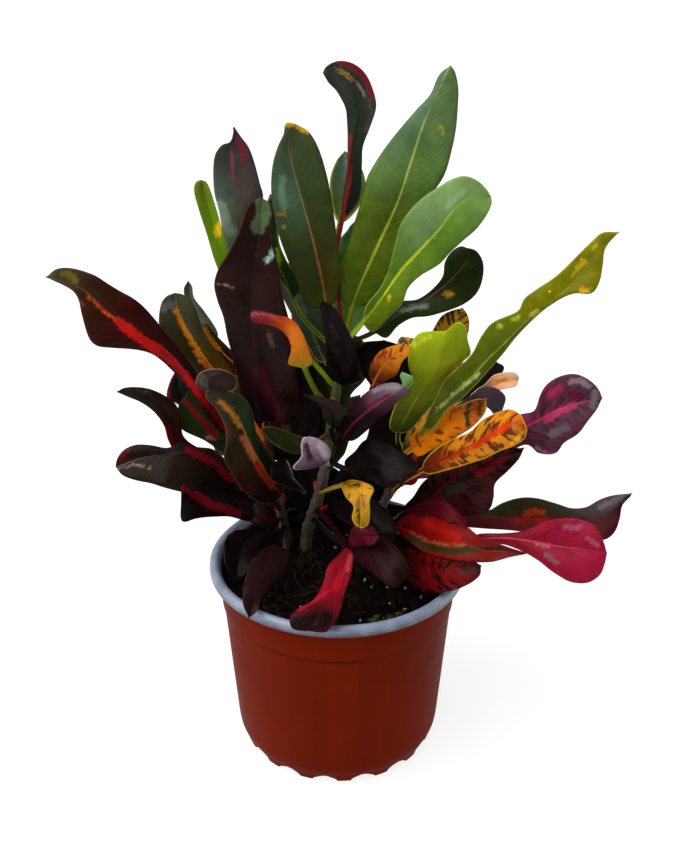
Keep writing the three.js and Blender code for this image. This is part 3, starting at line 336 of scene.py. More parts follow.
LEFT_LEAVES = {
    # its grey-teal band at 221,205 is a painted highlight
    "twisted_spear": dict(at=171, vee=0.3, wave=0.3,
        mid="262,330,12 250,290,11 243,262,10 240,235,10 234,185,8 231,160,8 234,127,8",
        left="231,255 224,237 219,212 214,190 215,155 222,145 230,141",
        right="249,250 249,225 252,204 263,198 260,183 249,148 241,137",
        face="#3c4028 #4c4c3a #443c36 #3c3230 #3a2e2c|#48583c #5c6c50 #566456 #383c34 #31302b",
        rib="#343428 #443c38 #5c3c40 #803c48 #5c2834", rib_wide=0.9, under="teal slate",
        patches_and_highlights="#6c1826 2.8 238,141 243,150 245,160; #7c8c78 5.5 221,205 224,216 231,232; #843c46 1.1 "
        "231,152 233,181"),
    # its thin pale band at 216,285 is a painted highlight on a crease
    "purple_sail": dict(at=168, vee=0.22, wave=1.4, mid="276,412,2 264,390,-2 258,365,-6 254,340,-9 "
        "252,312,-11 252,288,-10 255,262,-9 259,235,-6 261,197,-2",
        left="256,415 242,395 235,372 231,350 224,320 217,300 214,286 217,272 226,256 236,238 243,218 "
        "249,204", right="297,420 298,395 296,370 293,340 287,312 282,290 279,270 271,240 272,222 271,205",
        face="#160606 #220a0a #241210 #26140f #220e0a #24100c", rib="#2c0a10 #2c100c #34181a #3c2424",
        rib_wide=0.7, under="heather", edge="#3c2020", edge_wide=0.3,
        patches_and_highlights="#4a5c3c 7.5 262,203 264,214 258,227; #8ca8a4 2.8 267,261 274,250 276,244; #806450 1 216,285 "
        "226,285 234,289; #54403a 2.6 269,334 273,346; #40081a 6 259,372 268,396 280,418"),
    "red_rib_long": dict(at=150, lean=0.45, vee=0.15, wave=0.6,
        mid="243,442,2 225,424,-2 206,399,-5 190,378,-7 175,360,-9 160,346,-10 140,335,-10 105,310,-8 "
        "92,297,-8 82,289,-7 65,281,-5 46,277,-4",
        left="220,432 199,407 182,382 159,358 146,351 112,348 97,346 90,340 82,315 78,298 73,291 52,280",
        right="229,414 213,396 197,375 183,355 170,338 147,310 134,299 118,290 105,282 94,275 70,268 "
        "56,269", face="#1c0c06 #200c0a #24090a #2c0a0a #300a08 #34200f #46402c",
        rib="#6c0c0c #7c0c0c #981010 #b01410 #a01c10 #8c2c14 #4c3410 #3c3c20", rib_wide=1.3, bleed=0.6,
        under="wine ink", patches_and_highlights="#b01410 5 119,322 132,332 145,342 158,351; #a01010 3.4 158,351 176,366 "
        "192,384 205,402; #7c1010 2.6 205,402 216,417 228,432; #d05018 1.3 88,296 104,311 120,324 136,335 "
        "150,345; #7c2440 2 81,302 83,306; #5c5018 3.4 63,274 71,275 76,281"),
    # its grey band at 165,308 and the grey last stop of its left half are painted sheen at its top
    "orange_rib": dict(at=158, lean=0.1, vee=0.15, wave=0.8,
        mid="240,401,16 226,384,15 212,367,15 190,335,15 182,320,14 177,308,14 175,293,14",
        left="225,397 210,382 195,373 180,362 168,348 160,335 161,304 167,296",
        right="243,390 235,377 226,362 205,334 194,306 187,297 182,294",
        face="#3c2414 #5c3c08 #44380f #3e3c28 #44482f|#2c1f0a #333009 #2c240c #343018 #50504a",
        rib="#b8601c #d07814 #d48c18 #b8841c #64603c", bleed=0.4, under="olive",
        patches_and_highlights="#cc7818 2.5 176,311 183,326 192,343 202,358 209,369; #d06c18 2.6 201,361 209,368 213,374; "
        "#626462 4 165,308 172,304"),
    "brown_flame": dict(at=164, lean=0.1, mid="251,380,28 224,354,32 213,339,34 205,322,34",
        left="235,378 224,368 212,355 204,340 202,328", right="246,366 236,355 217,336 209,327",
        face="#2c180c #34200c #2c240f #262a14", rib="#a84c10 #c06c14 #a86414", rib_wide=1, bleed=0.3,
        under="brown", patches_and_highlights="#c06c18 2.4 205,330 209,338 216,349; #1c0c08 3 224,352 230,360"),
    "peeping_tip": dict(at=160, vee=0.2, wave=0.2,
        mid="235,375,34 215,345,38 200,318,40 191,298,40 188,281,40",
        left="207,340 193,315 185,298 184,288", right="218,335 205,312 194,297 192,286", face="#505848",
        rib="#505848", under="#505848"),
    "rolled_tip": dict(at=120, lean=0.2, vee=0.2,
        mid="283,498,6 273,485,0 262,466,-8 251,447,-14 241,424,-18 231,408,-21 218,397,-24 205,391,-26",
        left="270,503 255,500 242,489 232,474 224,459 226,440 224,424 215,408 206,398",
        right="284,482 267,450 256,437 254,420 251,407 243,397 214,388",
        face="#140c06 #1c1208 #14180a #1c2c12 #243016 #2c2c20|#1c0c08 #241008 #2c1408 #242410 #342818 "
        "#3c2c24", rib="#8c2410 #a03410 #a05c18 #a07028 #5c4420 #3c2c20", rib_wide=1, bleed=0.2,
        under="plum mauve", edge="#54483c", edge_wide=0.4, patches_and_highlights="#b87424 2.8 220,402 230,410 239,425; "
        "#a85c38 3.2 243,438 250,450 255,461; #942c10 3 255,461 262,473 271,486; #701410 2.4 206,404 "
        "220,420 229,434"),
    "rolled_end": dict(at=120, stalk=76, vee=-0.25, wave=0.2,
        mid="283,498,12 273,485,8 262,466,2 251,447,-4 241,424,-9 231,408,-14 222,397,-20 209,387,-28 "
        "213,377,-31 236,376,-28", left="203,390 197,384 199,375 207,370 222,369",
        right="214,392 222,391 230,392 236,388", face="#20120e #2a1c1c #2c1c18", rib="#281a18",
        under="#241614 #2c1e1e", edge="#8a6a5e", stem="ink"),
    "narrow_curl": dict(at=130, lean=0.3, wave=0.4, mid="252,482,14 232,476,11 207,464,7 187,452,3 "
        "175,438,1 170,420,0 160,405,-1 145,395,-2 131,391,-3 117,392,-4",
        left="224,482 197,468 177,455 168,440 163,424 153,411 140,402 128,397",
        right="230,465 212,452 195,446 182,435 180,415 175,403 150,389 124,388",
        face="#6c0c18 #540c14 #3c0a10 #2c140f #20180f #232421", rib="#3c0c10 #24100c #1c1c1a",
        under="bronze ink", patches_and_highlights="#780810 3.4 169,428 171,442 173,450; #4c3c30 1 137,389 150,393",
        stem="#5c0c18"),
    "back_tip": dict(at=140, lean=0.3, wave=0.4,
        mid="250,440,22 225,430,26 200,412,32 182,394,35 176,370,36",
        left="220,436 195,420 177,404 167,398 170,382", right="228,420 208,400 192,384 184,370",
        face="#240a10 #100808 #181c18", rib="#3c0c14", under="ink", edge="#6c0c18", edge_wide=0.7,
        stem="#24080c", patches_and_highlights="#740c18 2 168,398 168,386 172,376"),
    "green_under": dict(at=135, lean=0.5, vee=0.05, back=True,
        mid="256,462,18 240,452,16 222,436,14 204,418,12 184,398,12",
        left="238,459 222,452 205,441 180,427 178,410", right="250,445 238,425 220,405 204,392 190,388",
        face="olive", rib="#3c2c14", under="#202c10 #243414 #283818", stem="ink",
        patches_and_highlights="#b05868 2.2 208,437 214,438; #801018 2.8 186,402 200,418 216,436"),
    "lobed_dark": dict(at=116, lean=0.6, wave=0.8,
        mid="268,497,8 250,491,-2 232,480,-10 213,465,-18 196,455,-21 178,453,-23 140,459,-25 116,467,-26",
        left="255,503 238,501 220,498 181,492 165,488 150,483 135,480 122,475",
        right="252,484 240,474 226,460 212,451 195,447 181,441 168,447 150,445 136,445 125,450 118,459",
        face="#2c0a0f #3a0f14 #260b10 #140b0b #170e0b #280c0a|#140a08 #200606 #160b07 #1c1209 #1c150b "
        "#1a160a", rib="#4c0a18 #5c0a18 #240a0c #241410 #6c5848 #7c6c5c", rib_wide=0.7,
        under="bronze olive", patches_and_highlights="#700814 3.4 188,449 204,458 220,468 232,480; #5c0c14 2.2 120,458 "
        "128,450; #7c6c5c 0.9 119,469 134,464 150,468; #8c4450 1.3 231,470 236,479 242,488"),
    "striped_dark": dict(at=110, lean=0.6, wave=0.6,
        mid="272,519,4 252,515,-10 232,509,-20 213,502,-27 181,488,-35",
        left="250,521 230,517 210,517 195,519 182,521 181,505",
        right="252,504 234,490 214,480 196,474 184,478", face="ink", rib="#4c0814 #5c0818", rib_wide=0.8,
        under="ink", patches_and_highlights="#6c0614 4.2 181,484 196,495 212,505 238,513; #980c1c 2.4 194,494 208,502"),
    "maroon_drape": dict(at=106, lean=0.2, vee=0.15,
        mid="280,538,2 272,553,-18 264,572,-35 256,592,-48 249,618,-57",
        left="289,552 284,570 274,585 263,598 256,612", right="266,549 252,560 243,590 243,606",
        face="#1c0f0c #221010 #281216 #281416", rib="#301418", rib_wide=0.7, under="plum", stem="ink",
        patches_and_highlights="#8c7468 1 243,566 243,580"),
    "shade_sail": dict(at=150, wave=1, mid="286,468,14 292,420,16 288,390,18 282,355,20 276,318,22",
        left="262,460 251,422 244,390 240,362 246,335", right="318,442 322,415 318,385 310,355 296,328",
        patches_and_highlights="#443818 4.5 285,428 291,444", **SHADE),
    "shade_inner": dict(at=112, wave=0.8, mid="300,520,30 302,500,34 300,478,36 296,462,38 294,448,40",
        left="282,505 278,488 276,470 280,452", right="338,505 344,486 340,472 308,456", **SHADE),
    "shade_low": dict(at=112, lean=0.5, wave=1, mid="282,520,30 270,505,34 252,492,40 232,484,46",
        left="275,535 256,525 236,512 224,496", right="292,505 280,486 262,472 242,470",
        face="ink #180a0a #140808", rib="#24080f", under="#301820", stem="ink"),
    "left_back_high": dict(at=165, wide=24, twist=10, fold=14, wave=1.2,
        by=((-39, 42, 200), (-43, 64, 230), (-45, 78, 250)), face="bottle night plum",
        rib="brick blush plum", under="teal slate", veins=0.06),
    "left_back_mid": dict(at=150, wide=24, twist=12, fold=16, wave=1.4,
        by=((-50, 60, 166), (-64, 88, 168), (-70, 106, 150)), face="plum ink wine", rib="scarlet flame",
        bleed=2.4, under="heather plum"),
    "left_back_low": dict(at=125, wide=22, roll=6, twist=-12, fold=16, wave=1.4,
        by=((-45, 58, 136), (-60, 88, 128), (-66, 104, 108)), face="ink wine plum", rib="crimson rose",
        bleed=1.8, under="wine"),
    "left_side_low": dict(at=108, wide=20, roll=-6, twist=12, fold=14, wave=1.4,
        by=((-40, 46, 118), (-50, 66, 118), (-56, 84, 108)), face="ink aubergine wine", rib="crimson",
        bleed=1.4, under="plum", mottle=("wine", 0.3)),
    # a leaf inside the plant, near black with SHADE: painted shade
    "inner_plum": dict(at=140, wide=20, roll=-20, fold=16, wave=1.2, facing=210,
        by=((-24, -4, 148), (-22, -20, 158), (-30, -34, 164)), **SHADE),
    "low_shadow": dict(at=100, wide=18, roll=-20, fold=16, wave=1.2,
        by=((-44, 10, 108), (-48, -8, 112), (-50, -22, 104)), **SHADE),
}

RIGHT_LEAVES = {
    # its pale yellow-green band at 415,346 is a painted highlight
    "lime_fold": dict(at=160, lean=0.05, vee=0.14,
        mid="398,434,-6 408,413,-10 420,393,-15 432,376,-18 440,357,-20 444,342,-22 447,331,-22",
        left="390,428 394,408 404,392 413,380 409,365 409,350 413,340 421,333",
        right="410,430 426,412 440,395 446,378 457,367 471,356 468,340 466,328 459,322",
        face="#303408 #444804 #606c04 #7c7c08 #7e8e04 #8a9c0c|#343a06 #4a4e04 #647604 #849406 #98a804 "
        "#a4b818", rib="#5c6408 #848410 #989c1c #90a010", rib_wide=1.1, under="lime", edge="#b0bc3c",
        edge_wide=0.35, patches_and_highlights="#a88424 2.4 456,368 462,364; #b89430 1.8 466,357 466,362; #b8cc34 2.6 "
        "415,346 420,341 430,337", stem="#24280a"),
    "lime_scrap": dict(at=158, wave=0.2, mid="398,440,-4 402,415,-8 406,396,-12 408,384,-14 402,372,-14",
        left="403,392 402,382 400,376", right="412,388 420,382 412,376", face="#7cac5c #94bc84",
        rib="#94bc84", under="#84ac6c", stem="ink"),
    "blotched_tip": dict(at=164, wave=0.6, mid="418,410,6 430,385,8 442,355,10 452,328,12 463,308,12",
        left="428,375 426,350 441,317 451,311", right="448,372 462,350 469,330 468,316",
        face="bronze #74500f #b07818 #bc8818", rib="#a07c1c", under="amber", mottle=("#3c300c", 0.45)),
    "long_lime": dict(at=158, lean=0.4, wave=0.6, mid="420,436,-14 436,411,-22 455,393,-25 475,373,-27 "
        "490,357,-29 505,343,-30 525,322,-31 545,305,-31 565,290,-29 585,268,-26 599,245,-23 619,232,-20",
        left="426,418 436,398 445,380 460,366 473,352 481,336 492,323 519,310 524,299 538,288 556,276 "
        "573,260 590,243 602,233", right="434,428 447,410 462,399 478,382 503,353 518,335 535,319 551,305 "
        "565,296 578,292 592,293 600,281 603,265 606,248", face="#3c4408 #404a0a #3d4b02 #4c5604 #686804 "
        "#747008 #746c0e|#3c4808 #485010 #445204 #586404 #707006 #7c7808 #7c740e",
        rib="#5c6c14 #74802c #8c902c #84801c #7c7818", rib_wide=0.9, under="#747410", edge="#8c8c28",
        edge_wide=0.3, flecks=0.04, patches_and_highlights="#a8b064 1.4 438,408 452,396 466,384 480,373; #c4a820 3.2 "
        "579,267 584,262; #b8a024 2.2 573,276 575,272; #b0a028 2.2 592,249 596,246; #c89c20 2.4 581,290 "
        "589,291; #b8a838 2.4 531,315 537,311; #a8a834 2 513,320 518,317; #a4a834 2 498,328 501,325"),
    "pale_orange": dict(at=162, lean=0.5, wave=0.3,
        mid="450,410,10 470,400,14 486,391,16 502,382,18 519,379,20",
        left="474,392 485,384 494,375 515,373", right="480,398 492,392 505,389 516,386",
        face="#5c3428 #7c4c3c #dc9868 #f4b888 #f0c498", rib="#8c4c3c #c87c54 #dcac84", rib_wide=0.8,
        under="peach", edge="#dcbc9c", edge_wide=0.4, stem="#4c1c20", patches_and_highlights="#cc7434 2 497,382 506,380"),
    "slate_behind": dict(at=156, wave=0.3, mid="430,420,16 455,405,20 476,386,24 497,362,24",
        left="466,386 478,370 488,361", right="486,395 498,380 504,367", face="#1c1618 #241c20",
        rib="#1c1618", under="#1c1618"),
    "grey_drop": dict(at=152, lean=0.4, wave=0.3, mid="440,425,6 462,404,8 480,394,8 494,398,6 502,412,4",
        left="480,388 496,388 506,397", right="474,402 488,408 496,416", face="#302428 #483c48",
        rib="#382c34", under="#382c34"),
    "amber_small": dict(at=150, lean=0.5, wave=0.8, mid="404,455,-8 418,445,-14 448,422,-19 486,399,-23",
        left="411,438 420,428 432,417 446,408 462,404 477,399",
        right="419,456 432,450 462,434 476,424 486,411",
        face="#b86808 #e07808 #ec8808 #dc7408 #b05c0c #84500f", rib="#b46408 #c86c0c #8c3c0c", rib_wide=0.7,
        under="amber", mottle=("#943c08", 0.14), edge="#c88c2c", edge_wide=0.4,
        patches_and_highlights="#343008 2.8 469,404 467,414 468,425; #4c2808 2.6 480,402 479,414; #7c3008 1.5 452,412 "
        "460,408; #d47c0c 4 430,430 442,422"),
    "amber_broad": dict(at=138, lean=0.5, wave=0.7,
        mid="403,481,-8 418,473,-18 434,464,-25 470,446,-34 503,428,-41 515,423,-44 527,429,-46",
        left="425,461 440,446 456,438 470,432 484,420 497,412 510,409 521,415",
        right="428,474 448,470 468,464 484,459 500,451 514,446 524,439",
        face="#3c1004 #7c3008 #bc6c0c #bc741a #b86c0e #94500c|#2c0c04 #782c08 #d07410 #bc7c12 #cc6c0c "
        "#b45008", rib="#6c1408 #8c1c08 #b0300c #c03c0c #b43c0c", bleed=0.4, under="amber",
        mottle=("#5c280c", 0.42), edge="#c49024", patches_and_highlights="#bc3008 3.2 472,448 484,440 496,432 508,425; "
        "#a0380c 2 440,462 456,455 470,448; #d07c10 2.6 450,448 462,442; #cc8c1c 1.6 506,448 516,441 "
        "522,433; #c8800f 1.8 496,420 508,415"),
    # its grey bands at 570,382, 595,393 and 552,434 are painted highlights
    "magenta_spoon": dict(at=142, lean=0.5, vee=0.12, wave=0.7,
        mid="428,473,4 455,463,2 480,450,1 502,439,0 540,420,-5 556,411,-8 572,405,-9 588,401,-10 "
        "602,399,-10",
        left="488,434 505,420 522,414 533,411 539,396 548,384 561,376 575,374 589,380 598,389",
        right="496,460 510,452 526,445 540,453 556,453 564,443 578,434 588,421 597,409",
        face="#4c2430 #502438 #4c2438 #54283c #4c2c3c|#5c2434 #781c3c #782244 #4c2438 #443840",
        rib="#8c1c38 #a8244c #b0406c #8c3458", rib_wide=1.1, bleed=0.6, under="mauve", veins=0.12,
        mottle=("#30222c", 0.34), edge="#743450", edge_wide=0.4,
        patches_and_highlights="#7c6872 3.2 570,382 580,380 588,386; #625c62 3.6 595,393 593,406; #3c2430 3.4 543,396 "
        "545,407; #5c1028 3 570,393 582,396; #5a4c54 4.2 552,434 566,428; #a02850 3.4 546,420 560,411 "
        "574,405; #94204c 4 551,394 560,388; #946478 1.6 536,447 548,455 556,452"),
    "crimson_behind": dict(at=112, lean=0.6, wave=0.8,
        mid="398,518,0 416,508,-6 434,495,-13 452,480,-19 475,467,-26 502,456,-30 524,448,-31",
        left="405,506 413,497 423,482 437,472 455,461 480,454 505,448",
        right="420,515 438,517 462,516 488,511 493,498 495,484 508,471 519,459",
        face="#12060a #2c0808 #300808 #3c0c10 #3a0c10|#12060a #2c0a0a #400a0c #601218 #4c1014",
        rib="#540812 #5c0c18 #2c0810", rib_wide=0.8, under="wine", mottle=("#100608", 0.4),
        patches_and_highlights="#20280f 3.6 449,491 462,486; #681018 3.6 478,474 490,468 503,459"),
    # the grey stops towards the tip of its upper half and its grey band at 600,507 are painted sheen
    "long_dark": dict(at=120, lean=0.55, wave=0.6, mid="400,525,10 434,516,8 462,515,7 490,517,6 520,518,6 "
        "550,517,6 575,518,6 597,517,5 612,510,5 632,493,4",
        left="452,505 470,507 488,510 502,503 520,498 540,499 558,504 571,508 586,507 599,500 615,495",
        right="456,525 478,528 505,530 530,532 560,530 585,532 603,540 614,533 620,518 623,504",
        face="#3c1414 #4c1418 #601c20 #601c20 #441418 #381418|#3c2420 #342c1c #2c3018 #302c14 #3c342c "
        "#504648 #5c5458", rib="#540a14 #740f14 #7c1c14 #5c1418 #44242c #403438", rib_wide=0.9, bleed=0.2,
        under="plum", patches_and_highlights="#a0340f 3.4 526,514 534,511 543,513; #8c1814 2.6 512,519 528,520 548,520; "
        "#746a6e 3 600,507 612,502 622,498"),
    # its band at 566,527 is painted sheen along its upper edge, and its band at 588,539 a painted highlight
    "crimson_spoon": dict(at=110, lean=0.4, mid="404,532,-8 440,536,-20 475,538,-30 505,538,-36 "
        "530,541,-41 555,546,-46 580,549,-51 607,553,-56",
        left="478,534 505,533 525,530 545,522 562,519 580,520 594,526 603,540",
        right="480,544 505,545 540,560 555,573 570,582 588,583 600,575 605,563",
        face="#701018 #7c0a1c #84081e #86082a #8a1030 #84102c", rib="#a83848 #b84c5c #b03c50 #94203c",
        rib_wide=1, under="ruby", veins=0.04, mottle=("#780c28", 0.22), edge="#a82440", edge_wide=0.3,
        patches_and_highlights="#804458 3 547,555 557,563; #8c4058 3 566,527 580,527; #a03c54 2.6 588,539 598,546; #b04c60 "
        "1.8 536,544 548,546"),
    "olive_band": dict(at=104, lean=0.5, vee=0.05, wave=0.4, mid="382,532,-4 398,527,-10 412,533,-17 "
        "428,541,-24 448,543,-32 468,545,-38 485,551,-44 502,551,-49 528,553,-52",
        left="402,518 432,513 466,526 480,537 497,543 512,548",
        right="402,535 411,543 425,553 445,559 470,562 492,562 510,557",
        face="#5c0808 #7c0a08 #8c0e0a #741410 #641414 #6c1c1c", rib="#b02410 #a01c10 #8c1814", rib_wide=0.7,
        under="scarlet", patches_and_highlights="#2c2c10 3.8 411,538 425,546 445,551 462,551 474,549; #a41408 4 426,523 "
        "444,531 458,538; #3c0808 1.8 416,516 432,515 448,520 464,528; #906038 1 411,532 426,540 446,545 "
        "464,545; #1c1c10 2 474,549 490,549 502,548; #4c0a0c 2.4 426,555 446,560 470,563 490,562"),
    "low_crimson": dict(at=98, lean=0.4, wave=0.7,
        mid="376,556,-2 396,558,-14 418,563,-24 446,568,-38 481,566,-46",
        left="402,548 422,552 450,556 472,560", right="398,572 412,587 435,593 460,588 480,575",
        face="#140a08 #500a0a #78080a #640808 #1c0c08", rib="#540a10", rib_wide=0.7, under="wine",
        mottle=("#1c0808", 0.26)),
    "ruby_chip": dict(at=138, wave=0.2, mid="398,486,-2 403,483,-8 408,476,-12 411,466,-14",
        left="401,486 402,475 405,468", right="412,486 418,480 415,471", face="#840c1c", rib="#840c1c",
        under="wine", stem="ink"),
    "wine_arc": dict(at=112, lean=0.5, mid="385,528,4 402,514,-4 424,503,-12 446,505,-20 466,524,-28",
        left="413,507 428,498 448,499 464,511", right="408,520 424,514 440,517 456,528",
        face="#3c0814 #540a18 #640c1c", rib="#6c1828", rib_wide=0.7, under="wine", stem="ink"),
    "red_glint": dict(at=104, lean=0.4, mid="356,545,0 348,541,-14 356,537,-26 368,535,-34 380,537,-38",
        left="352,530 362,526 373,527", right="350,546 362,546 374,544", face="#4c0818 #540a1c #4c0a1c",
        rib="#440a18", under="wine", stem="ink"),
    "shade_right": dict(at=150, wave=0.8, mid="392,460,8 386,430,12 380,400,16 378,370,20 384,340,22",
        left="362,455 368,432 373,404 372,388 364,374 357,356 360,344",
        right="414,440 410,412 412,388 412,368 404,348", **SHADE),
    "shade_floor": dict(at=108, lean=0.5, wave=0.8, mid="378,530,20 392,516,26 410,508,29 430,507,32",
        left="370,513 386,505 404,506 418,503", right="390,534 404,528 420,519", face="ink #14060a #200a0c",
        rib="ink", under="#301820"),
    "right_back_mid": dict(at=150, wide=24, twist=-10, fold=16, wave=1.4,
        by=((52, 50, 168), (70, 78, 176), (78, 98, 160)), face="moss olive bottle", rib="amber gold",
        bleed=1.6, under="sage", mottle=("gold", 0.25)),
    "right_back_low": dict(at=125, wide=22, twist=12, fold=16, wave=1.4,
        by=((46, 54, 136), (62, 86, 128), (68, 104, 110)), face="wine plum ink", rib="scarlet flame",
        bleed=2, under="wine"),
    "right_side_low": dict(at=140, wide=20, roll=6, twist=-10, fold=14, wave=1.4,
        by=((50, 40, 132), (66, 60, 128), (76, 78, 112)), face="crimson wine plum", rib="rose ruby",
        bleed=1.4, under="wine", mottle=("ink", 0.3)),
    # a leaf inside the plant, near black all over: painted shade
    "inner_bronze": dict(at=116, wide=20, roll=40, fold=16, wave=1.2,
        by=((32, -8, 116), (48, -14, 122), (66, -18, 120)), face="ink", rib="#20080e", under="ink",
        stem="ink"),
}
LEAVES = {"centre_stem": CENTRE_LEAVES, "left_stem": LEFT_LEAVES, "right_stem": RIGHT_LEAVES}


# ---------------------------------------------------------------- shapes


def catmull(points, samples=400):
    """A smooth line through the points: a cubic for each gap whose end slopes come from its neighbours,
    weighed by the square roots of the gaps' lengths. Returns samples places and directions, evenly spaced."""
    known = np.array(points, float)
    known = np.vstack([2 * known[0] - known[1], known, 2 * known[-1] - known[-2]])
    gaps = np.sqrt(np.linalg.norm(np.diff(known, axis=0), axis=1))[:, None]
    count = len(points) - 1
    t = np.linspace(0, count, 40 * count + 1)
    gap = np.minimum(t.astype(int), count - 1)
    t = (t - gap)[:, None]
    before, start, end, after = (known[gap + k] for k in range(4))
    first, middle, last = (gaps[gap + k] for k in range(3))
    leave = (start - before) / first - (end - before) / (first + middle) + (end - start) / middle
    arrive = (end - start) / middle - (after - start) / (middle + last) + (after - end) / last
    leave, arrive = leave * middle, arrive * middle
    line = (
        start + leave * t + (3 * (end - start) - 2 * leave - arrive) * t**2
        + (2 * (start - end) + leave + arrive) * t**3
    )
    return evenly(line, samples)


def evenly(line, samples):
    """Places at equal steps along a line of points, and the line's directions there."""
    run = np.concatenate([[0], np.cumsum(np.linalg.norm(np.diff(line, axis=0), axis=1))])
    at = np.linspace(0, run[-1], samples)
    places = np.stack([np.interp(at, run, line[:, k]) for k in range(3)], 1)
    return places, unit(np.gradient(places, axis=0))


def unit(vectors):
    """Vectors made one long."""
    return vectors / np.linalg.norm(vectors, axis=-1, keepdims=True)


def length_of(line):
    """The length of a line of points."""
    return float(np.linalg.norm(np.diff(line, axis=0), axis=1).sum())


def grid_faces(rows, columns, closed=False, start=0):
    """Quads over a grid of vertices, row by row; closed joins the last column to the first."""
    row = np.arange(rows - 1)[:, None] * columns
    column = np.arange(columns if closed else columns - 1)[None]
    beside = (column + 1) % columns
    corners = [row + column, row + beside, row + columns + beside, row + columns + column]
    return start + np.stack(np.broadcast_arrays(*corners), -1).reshape(-1, 4)


def new_object(name, data):
    """A new object in the scene."""
    made = bpy.data.objects.new(name, data)
    bpy.context.scene.collection.objects.link(made)
    return made


def mesh_of(name, points, faces, materials, slots=None, tints=(), uv=None, rides=True):
    """A smooth-shaded mesh object from points in millimetres and four-cornered faces, which rides on the
    root. tints are point attributes as (name, values): 4 numbers to a point make a colour, 3 a vector and 1
    a number."""
    mesh = bpy.data.meshes.new(name)
    points = np.asarray(points, np.float32).reshape(-1, 3) * MM
    faces = np.asarray(faces, np.int32)
    mesh.vertices.add(len(points))
    mesh.vertices.foreach_set("co", points.ravel())
    mesh.loops.add(faces.size)
    mesh.loops.foreach_set("vertex_index", faces.ravel())
    mesh.polygons.add(len(faces))
    mesh.polygons.foreach_set("loop_start", np.arange(0, faces.size, 4, dtype=np.int32))
    for material in materials:
        mesh.materials.append(material)
    if slots is not None:
        mesh.polygons.foreach_set("material_index", np.asarray(slots, np.int32))
    mesh.polygons.foreach_set("use_smooth", np.ones(len(faces), bool))
    kinds = {1: ("FLOAT", "value"), 3: ("FLOAT_VECTOR", "vector"), 4: ("FLOAT_COLOR", "color")}
    for tint, values in tints:
        values = np.asarray(values, np.float32).reshape(len(points), -1)
        kind, field = kinds[values.shape[1]]
        mesh.attributes.new(tint, kind, "POINT").data.foreach_set(field, values.ravel())
    if uv is not None:
        layer = mesh.uv_layers.new(name="surface")
        layer.data.foreach_set("uv", np.asarray(uv, np.float32).reshape(-1, 2)[faces.ravel()].ravel())
    mesh.update(calc_edges=True)
    made = new_object(name, mesh)
    if rides:
        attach(made, "root")
    return made


def lattice_noise(x, y, size, seed):
    """Smooth random bumps from 0 to 1: random values on a square lattice size apart, with eased blending."""
    table = np.random.default_rng(seed).random((64, 64))
    x, y = np.asarray(x) / size + 100, np.asarray(y) / size + 100
    i, j = np.floor(x).astype(int), np.floor(y).astype(int)
    s, t = x - i, y - j
    s, t = s * s * (3 - 2 * s), t * t * (3 - 2 * t)
    corner = lambda a, b: table[(i + a) % 64, (j + b) % 64]
    low = corner(0, 0) * (1 - s) + corner(1, 0) * s
    high = corner(0, 1) * (1 - s) + corner(1, 1) * s
    return low * (1 - t) + high * t


# ---------------------------------------------------------------- colours and materials


def linear(hex_code):
    """An sRGB hex colour as linear red, green and blue."""
    byte = np.array([int(hex_code[k : k + 2], 16) for k in (1, 3, 5)]) / 255
    return np.where(byte <= 0.04045, byte / 12.92, ((byte + 0.055) / 1.055) ** 2.4)


def colour(name):
    """A named leaf colour, or a hex one, as linear red, green, blue and 1."""
    return (*linear(COLOURS.get(name, name)), 1.0)


def feed(node, *feeds):
    """Give a node's inputs their values or the outputs that feed them: in order, or as (input, feed)
    pairs."""
    for place, source in enumerate(feeds):
        if isinstance(source, tuple) and len(source) == 2:
            place, source = source
        if isinstance(source, bpy.types.NodeSocket):
            node.id_data.links.new(source, node.inputs[place])
        else:
            node.inputs[place].default_value = source


def add(tree, kind, *feeds, out=0, **settings):
    """Add a node with its settings and feeds. Returns its output of that name or number, or, for None,
    itself."""
    node = tree.nodes.new("ShaderNode" + kind)
    for name, value in settings.items():
        setattr(node, name, value)
    feed(node, *feeds)
    return node if out is None else node.outputs[out]


# A Mix node's colour inputs, and its settings and output for blending and for multiplying colours
MIX_A, MIX_B = 6, 7
BLEND = dict(data_type="RGBA", out=2)
MULTIPLY = dict(BLEND, blend_type="MULTIPLY")


def finish(name):
    """A new material, its node tree and its Principled shader."""
    material = bpy.data.materials.new(name)
    material.use_nodes = True
    return material, material.node_tree, material.node_tree.nodes["Principled BSDF"]


